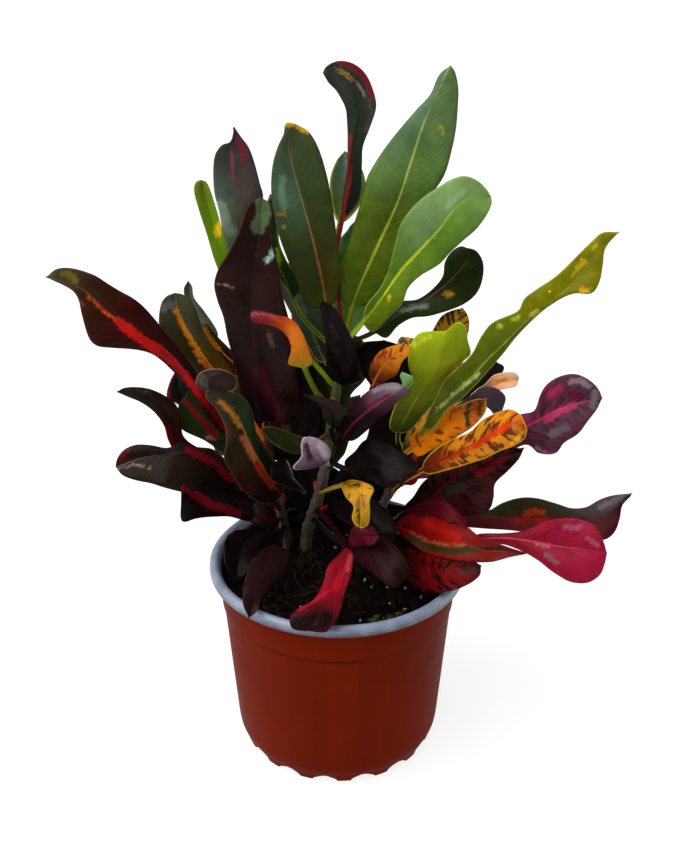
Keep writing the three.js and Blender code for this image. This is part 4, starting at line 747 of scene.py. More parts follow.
def leaf_material(name, upper, settings):
    """Croton leaf: a thick leathery blade under a waxy cuticle. The cuticle gives the upper face its sharp
    soft shine; the underside is duller. Colours come from the blade's attributes, which hold the leaves' own
    colours and, in places, painted highlights and sheen; its lines come from the blade's own map, in
    millimetres across and along. So a noise of scale 0.55 has grains of 1.8 mm, one of 0.11 has clouds of
    9 mm."""
    material, tree, shader = finish(name)
    xy = add(tree, "SeparateXYZ", add(tree, "UVMap", uv_map="surface"), out=None).outputs
    across = add(tree, "Math", xy[0], operation="ABSOLUTE")
    tint = {
        kind: add(tree, "Attribute", attribute_name=kind, out="Color")
        for kind in ("ground", "rib", "splash", "mottle", "margin")
    }
    widths, marks, place = (
        add(tree, "SeparateXYZ", add(tree, "Attribute", attribute_name=kind, out="Vector"), out=None).outputs
        for kind in ("widths", "marks", "place")
    )

    # every leaf starts its noise at a place of its own
    moved = add(tree, "CombineXYZ", xy[0], xy[1], place[2])
    ragged = add(tree, "TexNoise", ("Vector", moved), ("Scale", 0.55), ("Detail", 4.0), ("Roughness", 0.6))
    broad = add(tree, "TexNoise", ("Vector", moved), ("Scale", 0.11), ("Detail", 3.0), ("Roughness", 0.55))

    # mottle: blotches that lie with the side veins
    slant = add(tree, "Math", across, -0.8, xy[1], operation="MULTIPLY_ADD")
    slant = add(tree, "Math", slant, 2.2, operation="MULTIPLY")
    slanted = add(tree, "CombineXYZ", slant, xy[0], place[2])
    blotch = add(tree, "TexNoise", ("Vector", slanted), ("Scale", 0.17), ("Detail", 3.0), ("Roughness", 0.5))
    blotch = add(tree, "Math", blotch, marks[2], operation="ADD")

    # the rib's colour bleeds into the blade with a ragged edge
    spread = add(tree, "Math", ragged, -3.0, across, operation="MULTIPLY_ADD")
    spread = add(tree, "Math", spread, widths[1], operation="SUBTRACT")

    # splashes: patches with ragged edges, the leaf's own marks and, in places, painted highlights and sheen
    field = add(tree, "Math", ragged, 0.5, place[1], operation="MULTIPLY_ADD")

    # side veins leave the rib at a slant, VEIN_GAP apart, and curve forward
    curved = add(tree, "Math", across, 1.35, operation="POWER")
    vein = add(tree, "Math", curved, -0.55, xy[1], operation="MULTIPLY_ADD")
    vein = add(tree, "Math", broad, 2.2, vein, operation="MULTIPLY_ADD")
    vein = add(tree, "Math", vein, VEIN_GAP / 2, operation="PINGPONG")
    vein = add(tree, "MapRange", vein, 0.6, 0.05, interpolation_type="SMOOTHSTEP")
    vein_tint = add(tree, "Math", vein, marks[0], operation="MULTIPLY")

    # the midrib and the coloured margin, whose edges waver
    rib = add(tree, "Math", ragged, 0.7, across, operation="MULTIPLY_ADD")
    rib = add(tree, "Math", rib, widths[0], operation="SUBTRACT")
    margin = add(tree, "Math", ragged, 0.6, place[0], operation="MULTIPLY_ADD")
    margin = add(tree, "Math", margin, widths[2], operation="SUBTRACT")

    # each layer: its colour, the value that lays it, and the values where it is absent and full
    layers = (
        ("mottle", blotch, 0.97, 1.03), ("rib", spread, -1.1, -2.1), ("splash", field, 0.18, 0.34),
        ("rib", vein_tint, 0.0, 1.0), ("rib", rib, 0.55, 0.15), ("margin", margin, 0.5, 0.1),
    )
    ground = tint["ground"]
    for kind, value, absent, full in layers:
        mask = add(tree, "MapRange", value, absent, full)
        ground = add(tree, "Mix", mask, (MIX_A, ground), (MIX_B, tint[kind]), **BLEND)

    # pale flecks, about 1 mm
    dots = add(tree, "TexVoronoi", ("Vector", moved), ("Scale", 0.28), ("Randomness", 1.0), out=None).outputs
    chosen = add(tree, "SeparateXYZ", dots["Color"])
    chosen = add(tree, "Math", chosen, marks[1], operation="LESS_THAN")
    dot = add(tree, "Math", dots["Distance"], 0.16, operation="LESS_THAN")
    fleck = add(tree, "Math", dot, chosen, operation="MULTIPLY")
    ground = add(tree, "Mix", fleck, (MIX_A, ground), (MIX_B, colour("yellow")), **BLEND)

    # cloudy depth of the pigment
    depth = add(tree, "MapRange", broad, 0.3, 0.7, 0.78, 1.2)
    ground = add(tree, "Mix", 1.0, (MIX_A, ground), (MIX_B, depth), **MULTIPLY)

    smooth, dull = (settings.face_roughness, 1.4) if upper else (settings.back_roughness, 1.2)
    shine = add(tree, "MapRange", ragged, 0.25, 0.75, smooth, smooth * dull)

    # relief: side veins sunk above and raised below, the blade's low bumps, and the skin's fine pores
    pores = add(tree, "TexNoise", ("Vector", moved), ("Scale", 2.6), ("Detail", 2.0))
    relief = add(tree, "Math", pores, 0.1, broad, operation="MULTIPLY_ADD")
    sunk = -0.16 if upper else 0.3
    relief = add(tree, "Math", vein, sunk, relief, operation="MULTIPLY_ADD")
    bump = add(tree, "Bump", ("Strength", 0.55), ("Distance", 0.0009), ("Height", relief))
    feed(shader, ("Base Color", ground), ("Roughness", shine), ("Normal", bump))
    feed(shader, ("IOR", 1.45), ("Specular IOR Level", 0.06))
    if upper:
        feed(shader, ("Coat Weight", settings.wax), ("Coat Roughness", 0.22), ("Coat IOR", 1.45))
    return material


def bark_material():
    """Young croton wood: thin grey-brown bark that is still green near the tip. Matt, with fine cracks along
    the stem and pale pores."""
    material, tree, shader = finish("croton_bark")
    flat = add(tree, "UVMap", uv_map="surface")
    stretched = add(tree, "Mapping", ("Vector", flat), ("Scale", (1.0, 0.16, 1.0)))
    cracks = add(
        tree, "TexNoise", ("Vector", stretched), ("Scale", 1.6), ("Detail", 5.0), ("Roughness", 0.65),
    )
    patches = add(tree, "TexNoise", ("Vector", flat), ("Scale", 0.14), ("Detail", 3.0))
    wood = add(tree, "ValToRGB", cracks, out=None)
    for stop, place, tint in zip(wood.color_ramp.elements, (0.3, 0.72), ("#2a2118", "#7a6c58")):
        stop.position, stop.color = place, colour(tint)
    green = add(tree, "Attribute", attribute_name="young", out="Fac")
    green = add(tree, "Math", patches, 0.5, green, operation="MULTIPLY_ADD")
    green = add(tree, "MapRange", green, 0.55, 1.05)
    young = add(tree, "Attribute", attribute_name="ground", out="Color")
    mixed = add(tree, "Mix", green, (MIX_A, wood.outputs[0]), (MIX_B, young), **BLEND)
    pores = add(tree, "TexVoronoi", ("Vector", flat), ("Scale", 0.42), out="Distance")
    pore = add(tree, "MapRange", pores, 0.16, 0.1)
    mixed = add(tree, "Mix", pore, (MIX_A, mixed), (MIX_B, colour("#93866c")), **BLEND)
    height = add(tree, "Math", cracks, 1.0, pore, operation="MULTIPLY_ADD")
    bump = add(tree, "Bump", ("Strength", 0.7), ("Distance", 0.0008), ("Height", height))
    feed(shader, ("Base Color", mixed), ("Roughness", 0.75), ("Normal", bump))
    return material


def pot_material(settings):
    """Outside of the pot: terracotta-coloured polypropylene sheet, drawn warm into its mould. That leaves a
    satin skin with faint upright drawing streaks, a slight ripple and dust on the foot; a dark line of
    painted shade lies under the step. Its patterns' scales are to the metre: clouds of 45 mm, dust of 2.4 mm."""
    material, tree, shader = finish("drawn_polypropylene_terracotta")
    spot = add(tree, "TexCoord", out="Object")
    drawn = add(tree, "Mapping", ("Vector", spot), ("Scale", (60.0, 60.0, 4.0)))
    streaks = add(tree, "TexNoise", ("Vector", drawn), ("Scale", 1.0), ("Detail", 4.0), ("Roughness", 0.6))
    clouds = add(tree, "TexNoise", ("Vector", spot), ("Scale", 22.0), ("Detail", 3.0))
    base = add(tree, "ValToRGB", streaks, out=None)
    for stop, place, share in zip(base.color_ramp.elements, (0.25, 0.75), (0.86, 1.12)):
        stop.position, stop.color = place, (*[min(1, share * part) for part in settings.outside[:3]], 1)
    tone = add(tree, "MapRange", clouds, 0.3, 0.7, 0.88, 1.12)
    body = add(tree, "Mix", 1.0, (MIX_A, base.outputs[0]), (MIX_B, tone), **MULTIPLY)
    high = add(tree, "SeparateXYZ", spot, out=2)
    # painted shade in a line under the step, 0.8 to 3.2 mm wide
    step = add(tree, "Math", high, (STEP_HEIGHT + 0.5) * MM, operation="SUBTRACT")
    step = add(tree, "Math", step, operation="ABSOLUTE")
    step = add(tree, "MapRange", step, 0.0004, 0.0016, 1.0, 0.0)
    step = add(tree, "Math", step, streaks, operation="MULTIPLY")
    body = add(tree, "Mix", step, (MIX_A, body), (MIX_B, colour("#200602")), **BLEND)
    # dust on the lowest 16 mm
    low = add(tree, "MapRange", high, 0.016, 0.0, 0.0, 0.5)
    grit = add(tree, "TexNoise", ("Vector", spot), ("Scale", 420.0), ("Detail", 4.0))
    grit = add(tree, "MapRange", grit, 0.5, 0.7)
    dust = add(tree, "Math", grit, low, operation="MULTIPLY")
    body = add(tree, "Mix", dust, (MIX_A, body), (MIX_B, colour("#2a1610")), **BLEND)
    shine = add(tree, "MapRange", clouds, 0.3, 0.7, 0.48, 0.6)
    ripple = add(tree, "Math", clouds, 6.0, streaks, operation="MULTIPLY_ADD")
    bump = add(tree, "Bump", ("Strength", 0.3), ("Distance", 0.0008), ("Height", ripple))
    feed(shader, ("Base Color", body), ("Roughness", shine), ("Normal", bump))
    feed(shader, ("IOR", 1.49), ("Specular IOR Level", 0.025), ("Specular Tint", colour("#ff9450")))
    return material


def liner_material(settings):
    """Inside of the pot and its rolled rim: the sheet's dark inner layer. On the rim its colour is a painted
    reflection of the sky, blue-grey; inside it turns nearly black, where water marks and peat dull it."""
    material, tree, shader = finish("drawn_polypropylene_inner_layer_painted_sky_reflection")
    spot = add(tree, "TexCoord", out="Object")
    high = add(tree, "SeparateXYZ", spot, out=2)
    worn = add(tree, "TexNoise", ("Vector", spot), ("Scale", 90.0), ("Detail", 5.0), ("Roughness", 0.65))
    rise = add(tree, "Math", worn, 0.004, high, operation="MULTIPLY_ADD")
    top = POT_HIGH.z
    # painted reflection of the sky: the rim's blue-grey colour over the layer's near-black
    sky_reflection_on_rim = add(tree, "MapRange", rise, top - 0.0035, top + 0.0005)
    body = add(tree, "Mix", sky_reflection_on_rim, (MIX_A, colour("#0b131a")), (MIX_B, tuple(settings.rim)), **BLEND)
    rubbed = add(tree, "MapRange", worn, 0.35, 0.7, 0.8, 1.25)
    body = add(tree, "Mix", 1.0, (MIX_A, body), (MIX_B, rubbed), **MULTIPLY)
    shine = add(tree, "MapRange", worn, 0.3, 0.7, 0.25, 0.42)
    bump = add(tree, "Bump", ("Strength", 0.25), ("Distance", 0.0006), ("Height", worn))
    feed(shader, ("Base Color", body), ("Roughness", shine), ("Normal", bump), ("IOR", 1.49))
    return material


def mix_material(name, dark, pale, scale, roughness, relief):
    """A crumbly natural stuff: two colours by a cloudy noise of that scale, to the metre, over a rough
    surface."""
    material, tree, shader = finish(name)
    spot = add(tree, "TexCoord", out="Object")
    crumbs = add(tree, "TexNoise", ("Vector", spot), ("Scale", scale), ("Detail", 7.0), ("Roughness", 0.68))
    ramp = add(tree, "ValToRGB", crumbs, out=None)
    for stop, place, tint in zip(ramp.color_ramp.elements, (0.35, 0.72), (dark, pale)):
        stop.position, stop.color = place, colour(tint)
    bump = add(tree, "Bump", ("Strength", 1.0), ("Distance", relief * MM), ("Height", crumbs))
    feed(shader, ("Base Color", ramp.outputs[0]), ("Roughness", roughness), ("Normal", bump))
    feed(shader, ("Specular IOR Level", 0.08))
    return material


# ---------------------------------------------------------------- pieces


def pot_section():
    """The pot's outline, from the middle of its underside round to the middle of its floor, and the share of
    the foot's notch that each point takes. Corners are given as arcs between straight runs."""
    under_rim = POT_HEIGHT - LIP_HEIGHT
    inner = STEP_RADIUS - WALL
    top = RIM_RADIUS - LIP_REACH
    corners = [
        # radius, height, rounding, share of the notch
        (0, 0, 0, 0), (PAD_RADIUS, 0, 0.6, 0), (PAD_RADIUS + 1.5, FLOOR_RAISE, 0.8, 0),
        (FOOT_RADIUS - FOOT_WIDTH - 1.5, FLOOR_RAISE, 1.0, 0), (FOOT_RADIUS - FOOT_WIDTH, 0, 0.8, 1),
        (FOOT_RADIUS, 0, 0.9, 1), (FOOT_RADIUS + 1.2, NOTCH_HEIGHT + 1, 0.8, 0.25),
        (CORNER_RADIUS - 0.6, CORNER_HEIGHT * 0.62, 3.0, 0), (CORNER_RADIUS, CORNER_HEIGHT, 3.0, 0),
        (STEP_RADIUS, STEP_HEIGHT, 0.5, 0), (STEP_RADIUS + STEP_DEPTH, STEP_HEIGHT + 1, 0.5, 0),
        (top, under_rim, 0.8, 0), (RIM_RADIUS - 0.8, under_rim - 0.6, 0.5, 0),
        (RIM_RADIUS, under_rim + 0.9, 1.0, 0), (RIM_RADIUS - 0.2, POT_HEIGHT - 1.2, 1.6, 0),
        (RIM_RADIUS - 2.2, POT_HEIGHT, 1.4, 0), (top + 0.8, POT_HEIGHT - 0.5, 1.2, 0),
        (top - WALL, under_rim + 2, 1.2, 0), (inner + STEP_DEPTH, STEP_HEIGHT + 1, 0.5, 0),
        (inner, STEP_HEIGHT - 1, 0.5, 0), (CORNER_RADIUS - WALL, CORNER_HEIGHT, 3.0, 0),
        (FOOT_RADIUS - 1.5, FLOOR_RAISE + WALL + 2, 1.5, 0), (FOOT_RADIUS - 4, FLOOR_RAISE + WALL, 1.0, 0),
        (0, FLOOR_RAISE + WALL, 0, 0),
    ]
    spots = np.array(corners, float)
    made = [spots[0]]
    for before, spot, after in zip(spots[:-2], spots[1:-1], spots[2:]):
        back, ahead = before[:2] - spot[:2], after[:2] - spot[:2]
        cut = min(spot[2], 0.45 * np.hypot(*back), 0.45 * np.hypot(*ahead))
        start = spot[:2] + cut * back / np.hypot(*back)
        end = spot[:2] + cut * ahead / np.hypot(*ahead)
        for t in np.linspace(0, 1, 5):
            at = (1 - t) ** 2 * start + 2 * t * (1 - t) * spot[:2] + t * t * end
            made.append(np.array([*at, 0, spot[3]]))
    made.append(spots[-1])
    made = np.array(made)
    # the long walls get rows of their own, so that ripple and shading stay smooth
    rows = [made[0]]
    for before, after in zip(made[:-1], made[1:]):
        steps = max(1, int(np.hypot(*(after - before)[:2]) / 5))
        rows += [before + (after - before) * k / steps for k in range(1, steps + 1)]
    return np.array(rows)


def build_pot(settings):
    """The pot turned about Z: radius and height from its section at every angle. Between two feet the foot's
    edge rises over a notch by an eased wave. The drain holes are drilled through the floor."""
    section = pot_section()
    angles = np.linspace(0, TAU, POT_SIDES, endpoint=False)
    # a third of each foot's turn stands on the table, and the notch peaks two thirds of the way along
    turn = (angles / TAU * FEET) % 1
    notch = np.clip(1 - np.abs(turn - 2 / 3) * 3, 0, 1) ** 0.6
    radius = section[:, 0][:, None] + 0 * angles
    height = section[:, 1][:, None] + section[:, 3][:, None] * NOTCH_HEIGHT * notch
    # hand-thin sheet is never quite round
    radius = radius * (1 + 0.0022 * np.sin(3 * angles + 0.5) * (height / POT_HEIGHT))
    points = np.stack([radius * np.sin(angles), -radius * np.cos(angles), height], -1)
    faces = grid_faces(len(section), len(angles), closed=True)
    # the inner layer shows from the rim's outer side inwards, but not under its lip
    middle = points.reshape(-1, 3)[faces].mean(1)
    row = faces[:, 0] // len(angles)
    rim_row = int(np.argmax(section[:, 0]))
    lined = (row >= rim_row - 3).astype(int)
    lined[(middle[:, 2] < POT_HEIGHT - LIP_HEIGHT - 1.2) & (row < rim_row)] = 0
    materials = [pot_material(settings), liner_material(settings)]
    made = mesh_of("nursery_pot", points, faces[:, ::-1], materials, lined)
    weld(made)
    drill_drains(made)
    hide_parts("pot")


def weld(piece):
    """Merge vertices that lie together, such as the ring that a pole makes."""
    tree = bmesh.new()
    tree.from_mesh(piece.data)
    bmesh.ops.remove_doubles(tree, verts=tree.verts, dist=0.002 * MM)
    bmesh.ops.recalc_face_normals(tree, faces=tree.faces)
    tree.to_mesh(piece.data)
    tree.free()


def drill_drains(pot):
    """Cut the drain holes out of the floor with upright round rods, from below the table to above the
    floor."""
    turn = np.linspace(0, TAU, 28, endpoint=False)
    ring = np.stack([np.cos(turn), np.sin(turn)], -1) * DRAIN_RADIUS
    points, faces = [], []
    for hole in range(DRAIN_HOLES):
        way = TAU * hole / DRAIN_HOLES
        middle = DRAIN_CIRCLE * np.array([math.cos(way), math.sin(way)])
        for z, size in ((-2, 0.0), (-2, 1.0), (8, 1.0), (8, 0.0)):
            points.append(np.column_stack([middle + ring * size, np.full(len(ring), z)]))
        faces.append(grid_faces(4, len(ring), closed=True, start=hole * 4 * len(ring)))
    rods = mesh_of("drain_rods", np.concatenate(points), np.concatenate(faces), [], rides=False)
    weld(rods)
    cut = pot.modifiers.new("drains", "BOOLEAN")
    cut.operation = "DIFFERENCE"
    cut.solver = "EXACT"
    cut.object = rods
    bpy.context.view_layer.update()
    drilled = bpy.data.meshes.new_from_object(pot.evaluated_get(bpy.context.evaluated_depsgraph_get()))
    pot.modifiers.clear()
    pot.data = drilled
    pot.data.name = pot.name
    bpy.data.objects.remove(rods)


def mix_height(x, y):
    """Height of the mix's surface: the solid's crossing waves, with crumbs of 9, 4 and 1.6 mm on them."""
    clods = np.sin(0.21 * x + 0.8) * np.cos(0.17 * y) + 0.5 * np.sin(0.11 * (x + 2 * y) + 2)
    crumbs = sum(
        share * (lattice_noise(x, y, size, seed) - 0.5)
        for share, size, seed in ((2.6, 9, 3), (1.7, 4, 4), (1.1, 1.6, 5))
    )
    return MIX_TOP + CLOD_HEIGHT * clods + crumbs


def inner_radius(z):
    """Radius of the pot's inner wall at a height, along the straight run between its corner and its step."""
    rise = (z - CORNER_HEIGHT) / (STEP_HEIGHT - CORNER_HEIGHT)
    return CORNER_RADIUS + (STEP_RADIUS - CORNER_RADIUS) * rise - WALL


def build_mix(settings):
    """The potting mix: a plug that fills the pot, whose top is a height field in rings."""
    floor = FLOOR_RAISE + WALL + 0.3
    angles = np.linspace(0, TAU, MIX_SIDES, endpoint=False)
    side = [(0, floor), (FOOT_RADIUS - 5, floor), (inner_radius(CORNER_HEIGHT) - MIX_GAP, CORNER_HEIGHT)]
    side += [(inner_radius(z) - MIX_GAP, z) for z in np.linspace(CORNER_HEIGHT + 10, STEP_HEIGHT - 2, 6)]
    edge = inner_radius(STEP_HEIGHT) - MIX_GAP
    circles = np.linspace(1, 0, MIX_RINGS)[:, None] * edge
    ground_x, ground_y = circles * np.cos(angles), circles * np.sin(angles)
    top = np.stack([ground_x, ground_y, mix_height(ground_x, ground_y)], -1)
    low = np.array(side)[:, :, None] * np.ones(len(angles))
    low = np.stack([low[:, 0] * np.cos(angles), low[:, 0] * np.sin(angles), low[:, 1]], -1)
    points = np.concatenate([low, top])
    peat = mix_material("damp_peat", "#060202", "#180c08", 260.0, 0.95, 1.4)
    made = mesh_of("potting_mix_fill", points, grid_faces(len(points), len(angles), closed=True), [peat])
    weld(made)
    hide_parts("potting_mix")


def scatter(count, seed, reach, spots=()):
    """Places on the mix: count of them evenly at random inside a radius, or about the given spots."""
    rng = np.random.default_rng(seed)
    angle = rng.random(count) * TAU
    radius = reach * np.sqrt(rng.random(count))
    x, y = radius * np.cos(angle), radius * np.sin(angle)
    if len(spots):
        chosen = np.array(spots)[rng.integers(0, len(spots), count)]
        x, y = chosen[:, 0] + x, chosen[:, 1] + y
    return rng, x, y


def lumps(count, seed, reach, size, flat, lift, spots=()):
    """Rough lumps on the mix. Each is a ball of a few sides whose radius random steps make uneven, squashed
    to flat times its width, turned and tilted at random. Returns points and faces."""
    rng, x, y = scatter(count, seed, reach, spots)
    sides, rows = 7, 5
    turn = np.linspace(0, TAU, sides, endpoint=False)
    rise = np.linspace(-math.pi / 2, math.pi / 2, rows)[:, None]
    ball = np.stack([np.cos(rise) * np.cos(turn), np.cos(rise) * np.sin(turn), np.sin(rise) + 0 * turn], -1)
    ball = ball.reshape(-1, 3)
    rough = 1 + 0.5 * (rng.random((count, len(ball))) - 0.5)
    rough[:, :sides] = rough[:, :1]
    rough[:, -sides:] = rough[:, -1:]
    grown = size[0] + (size[1] - size[0]) * rng.random(count) ** 1.6
    stretch = 0.55 + 0.45 * rng.random(count)
    shape = ball[None] * (rough * grown[:, None])[..., None]
    shape = shape * np.stack([np.ones(count), stretch, flat * np.ones(count)], -1)[:, None]
    tilt, spin = (rng.random(count) - 0.5) * 0.9, rng.random(count) * TAU
    cos, sin = np.cos(tilt)[:, None], np.sin(tilt)[:, None]
    px, py = shape[..., 0] * cos - shape[..., 2] * sin, shape[..., 1]
    pz = shape[..., 0] * sin + shape[..., 2] * cos
    cos, sin = np.cos(spin)[:, None], np.sin(spin)[:, None]
    px, py = px * cos - py * sin + x[:, None], px * sin + py * cos + y[:, None]
    pz = pz + (mix_height(x, y) + lift * grown)[:, None]
    faces = [grid_faces(rows, sides, closed=True, start=len(ball) * k) for k in range(count)]
    return np.stack([px, py, pz], -1), np.concatenate(faces)


def rings(ways, level, sides):
    """The ways from a rod's middle to its sides, in a ring at each of the ways that it runs: a circle in the
    plane square to that way, which starts where it is also square to level."""
    turn = np.linspace(0, TAU, sides, endpoint=False)[:, None]
    across = unit(np.cross(ways, level))
    return across[:, None] * np.cos(turn) + np.cross(ways, across)[:, None] * np.sin(turn)


def strands(lines, radii, sides=5):
    """Round threads along lines of points, each closed at its ends by shrinking to nothing.
    Returns points and faces."""
    points, faces, start = [], [], 0
    for (line, ways), radius in zip(lines, radii):
        thick = radius * np.sqrt(np.clip(np.sin(np.linspace(0.0, math.pi, len(line))) * 3, 0, 1))
        ring = rings(ways, (0.31, 0.17, 0.93), sides)
        points.append((line[:, None] + ring * thick[:, None, None]).reshape(-1, 3))
        faces.append(grid_faces(len(line), sides, closed=True, start=start))
        start += len(line) * sides
    return np.concatenate(points), np.concatenate(faces)


def build_mix_bits(settings):
    """What lies on the mix: bark chips, perlite grains, bits of green litter, and root fibres that curl out
    of it."""
    reach = inner_radius(STEP_HEIGHT) - 5
    # name, material, its colours, noise scale, roughness and relief, then how many, a seed, how far they lie
    # from the pot's middle or from spots, their sizes, flatness, lift and spots
    kinds = (
        ("bark_chips", ("composted_bark", "#080403", "#281810", 520.0, 0.85, 0.5),
         (settings.bark_chips, 11, reach, (1.2, 4.6), 0.42, 0.15)),
        ("perlite_grains", ("perlite", "#6f6a5e", "#d8d4c8", 900.0, 0.9, 0.3),
         (settings.perlite_grains, 12, reach, (0.6, 1.5), 0.9, 0.4)),
        ("green_litter_bits", ("green_litter", "#141c08", "#48602c", 500.0, 0.8, 0.3),
         (30, 13, 5, (0.9, 2.6), 0.3, 0.6, ((22, -41), (16, -44), (28, -38), (19, -42)))),
    )
    for name, stuff, sizes in kinds:
        mesh_of(name, *lumps(*sizes), [mix_material(*stuff)])
    fibre = mix_material("root_fibre", "#180f0a", "#443428", 700.0, 0.85, 0.2)
    spots = ((-38, -10), (-30, 8), (-8, 2), (-34, -28), (10, 20), (34, 12))
    rng, x, y = scatter(settings.root_fibres, 14, 20, spots)
    lines, radii = [], []
    for k in range(len(x)):
        turn, bend, run = rng.random() * TAU, (rng.random() - 0.5) * 5, 5 + 13 * rng.random()
        t = np.linspace(0, 1, 14)
        way = turn + bend * t
        px = x[k] + np.cumsum(np.cos(way)) * run / len(t)
        py = y[k] + np.cumsum(np.sin(way)) * run / len(t)
        far = np.hypot(px, py)
        shrink = np.minimum(1, reach / np.maximum(far, 1e-6))
        px, py = px * shrink, py * shrink
        pz = mix_height(px, py) - 0.4 + (1.0 + 3.0 * rng.random()) * np.sin(math.pi * t)
        lines.append(evenly(np.stack([px, py, pz], 1), 14))
        radii.append(0.16 + 0.3 * rng.random() ** 2)
    points, faces = strands(lines, radii)
    mesh_of("root_fibres", points, faces, [fibre])


def stem_line(name):
    """A stem's middle line and directions, from its foot to its tip."""
    return catmull(STEMS[name]["line"])


def on_stem(name, height):
    """The point of a stem's middle at a height."""
    line, _ = stem_line(name)
    return tuple(float(np.interp(height, line[:, 2], line[:, k])) for k in range(2)) + (height,)


def build_stems(settings):
    """Each stem: a round rod that tapers along its line, swollen at the scars where older leaves have
    dropped, with shallow flutes down it."""
    bark = bark_material()
    for name, stem in STEMS.items():
        foot = np.array(stem["line"][0]) - (0, 0, STUB)
        line, ways = evenly(np.vstack([foot, stem_line(name)[0]]), STEM_ROWS)
        run = np.linspace(0, length_of(line), len(line))
        turn = np.linspace(0, TAU, STEM_SIDES, endpoint=False)
        share = run / run[-1]
        radius = stem["foot"] + (stem["tip"] - stem["foot"]) * share
        scars = np.clip(np.cos(TAU * run / SCAR_GAP), 0, 1) ** 8
        flutes = 0.1 * np.sin(3 * turn[None] + 0.12 * run[:, None]) + 0.08 * np.sin(7 * turn[None] + 1)
        bumps = lattice_noise(run[:, None] + 0 * turn, turn[None] * 6 + 0 * run[:, None], 2.4, 8)
        rough = 0.22 * (bumps - 0.5)
        thick = radius[:, None] * (1 + 0.14 * scars[:, None] + flutes * 0.4 + rough)
        thick[-3:] *= np.array([0.8, 0.5, 0.0])[:, None]
        points = line[:, None] + rings(ways, (0, -1, 0), STEM_SIDES) * thick[..., None]
        flat = np.stack([turn[None] * stem["foot"] + 0 * thick, run[:, None] + 0 * thick], -1)
        young = np.broadcast_to(share[:, None] ** 1.5, thick.shape)
        tint = np.broadcast_to(colour("moss" if name == "centre_stem" else "wine"), (*thick.shape, 4))
        faces = grid_faces(len(line), len(turn), closed=True)
        tints = (("young", young), ("ground", tint))
        made = mesh_of(name + "_wood", points, faces, [bark], tints=tints, uv=flat)
        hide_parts(name)


def blend_stops(stops, place):
    """Named colours spread evenly along a run, blended at each place from 0 to 1."""
    table = np.array([colour(name) for name in stops.split()])
    at = np.clip(place, 0, 1) * (len(table) - 1)
    return np.stack([np.interp(at, np.arange(len(table)), table[:, k]) for k in range(4)], -1)


def outline(v, taper):
    """A blade's half width: it grows as v^a and shrinks as (1-v)^b, and is 1 where it is widest."""
    a, b = taper
    widest = a / (a + b)
    return (v / widest) ** a * ((1 - v) / (1 - widest)) ** b


def seen(spots, depth):
    """Points whose depth Y is given, in millimetres, on the rays through spots of the picture that the
    stage's camera takes: the ray leaves the camera's place, and its slopes are the spot's distances from
    the picture's centre over the focal length, turned down by the camera's tilt."""
    aside = (spots[:, 0] - PICTURE_WIDE / 2) / FOCAL
    above = (PICTURE_HIGH / 2 - spots[:, 1]) / FOCAL
    cos, sin = math.cos(CAMERA_TILT), math.sin(CAMERA_TILT)
    ways = np.stack([aside, cos + above * sin, -sin + above * cos], 1)
    reach = (depth - CAMERA_PLACE[1]) / ways[:, 1]
    return np.array(CAMERA_PLACE) + reach[:, None] * ways


def picture_spots(points):
    """Where the stage's camera sees points, as x and y in its picture: the other way round of seen."""
    off = points - np.array(CAMERA_PLACE)
    cos, sin = math.cos(CAMERA_TILT), math.sin(CAMERA_TILT)
    ahead = off[..., 1] * cos - off[..., 2] * sin
    above = off[..., 1] * sin + off[..., 2] * cos
    aside = FOCAL * off[..., 0] / ahead
    return np.stack([PICTURE_WIDE / 2 + aside, PICTURE_HIGH / 2 - FOCAL * above / ahead], -1)


def numbers(text):
    """The rows of numbers in a text such as 1,2 3,4."""
    return np.array([[float(part) for part in spot.split(",")] for spot in text.split()])


def along(line, share):
    """Points of an evenly spaced line at shares of its length from 0 to 1."""
    at = np.clip(share, 0, 1) * (len(line) - 1)
    return np.stack([np.interp(at, np.arange(len(line)), line[:, k]) for k in range(3)], -1)


def leaf_rows(stalk):
    """The rows of a leaf as shares of the midrib's length, and as shares of the blade's: those of the blade
    draw together towards the tip."""
    blade = 1 - (1 - np.linspace(0, 1, BLADE_ROWS)) ** 1.2
    places = np.concatenate([stalk * np.arange(STALK_ROWS) / STALK_ROWS, stalk + (1 - stalk) * blade])
    return places, np.clip((places - stalk) / (1 - stalk), 0, 1)


def stalk_half(v):
    """Half the width of the stalk, and the least that the blade has at shares v of its length."""
    return (STALK_HALF * (1 - 0.75 * v**3))[:, None]


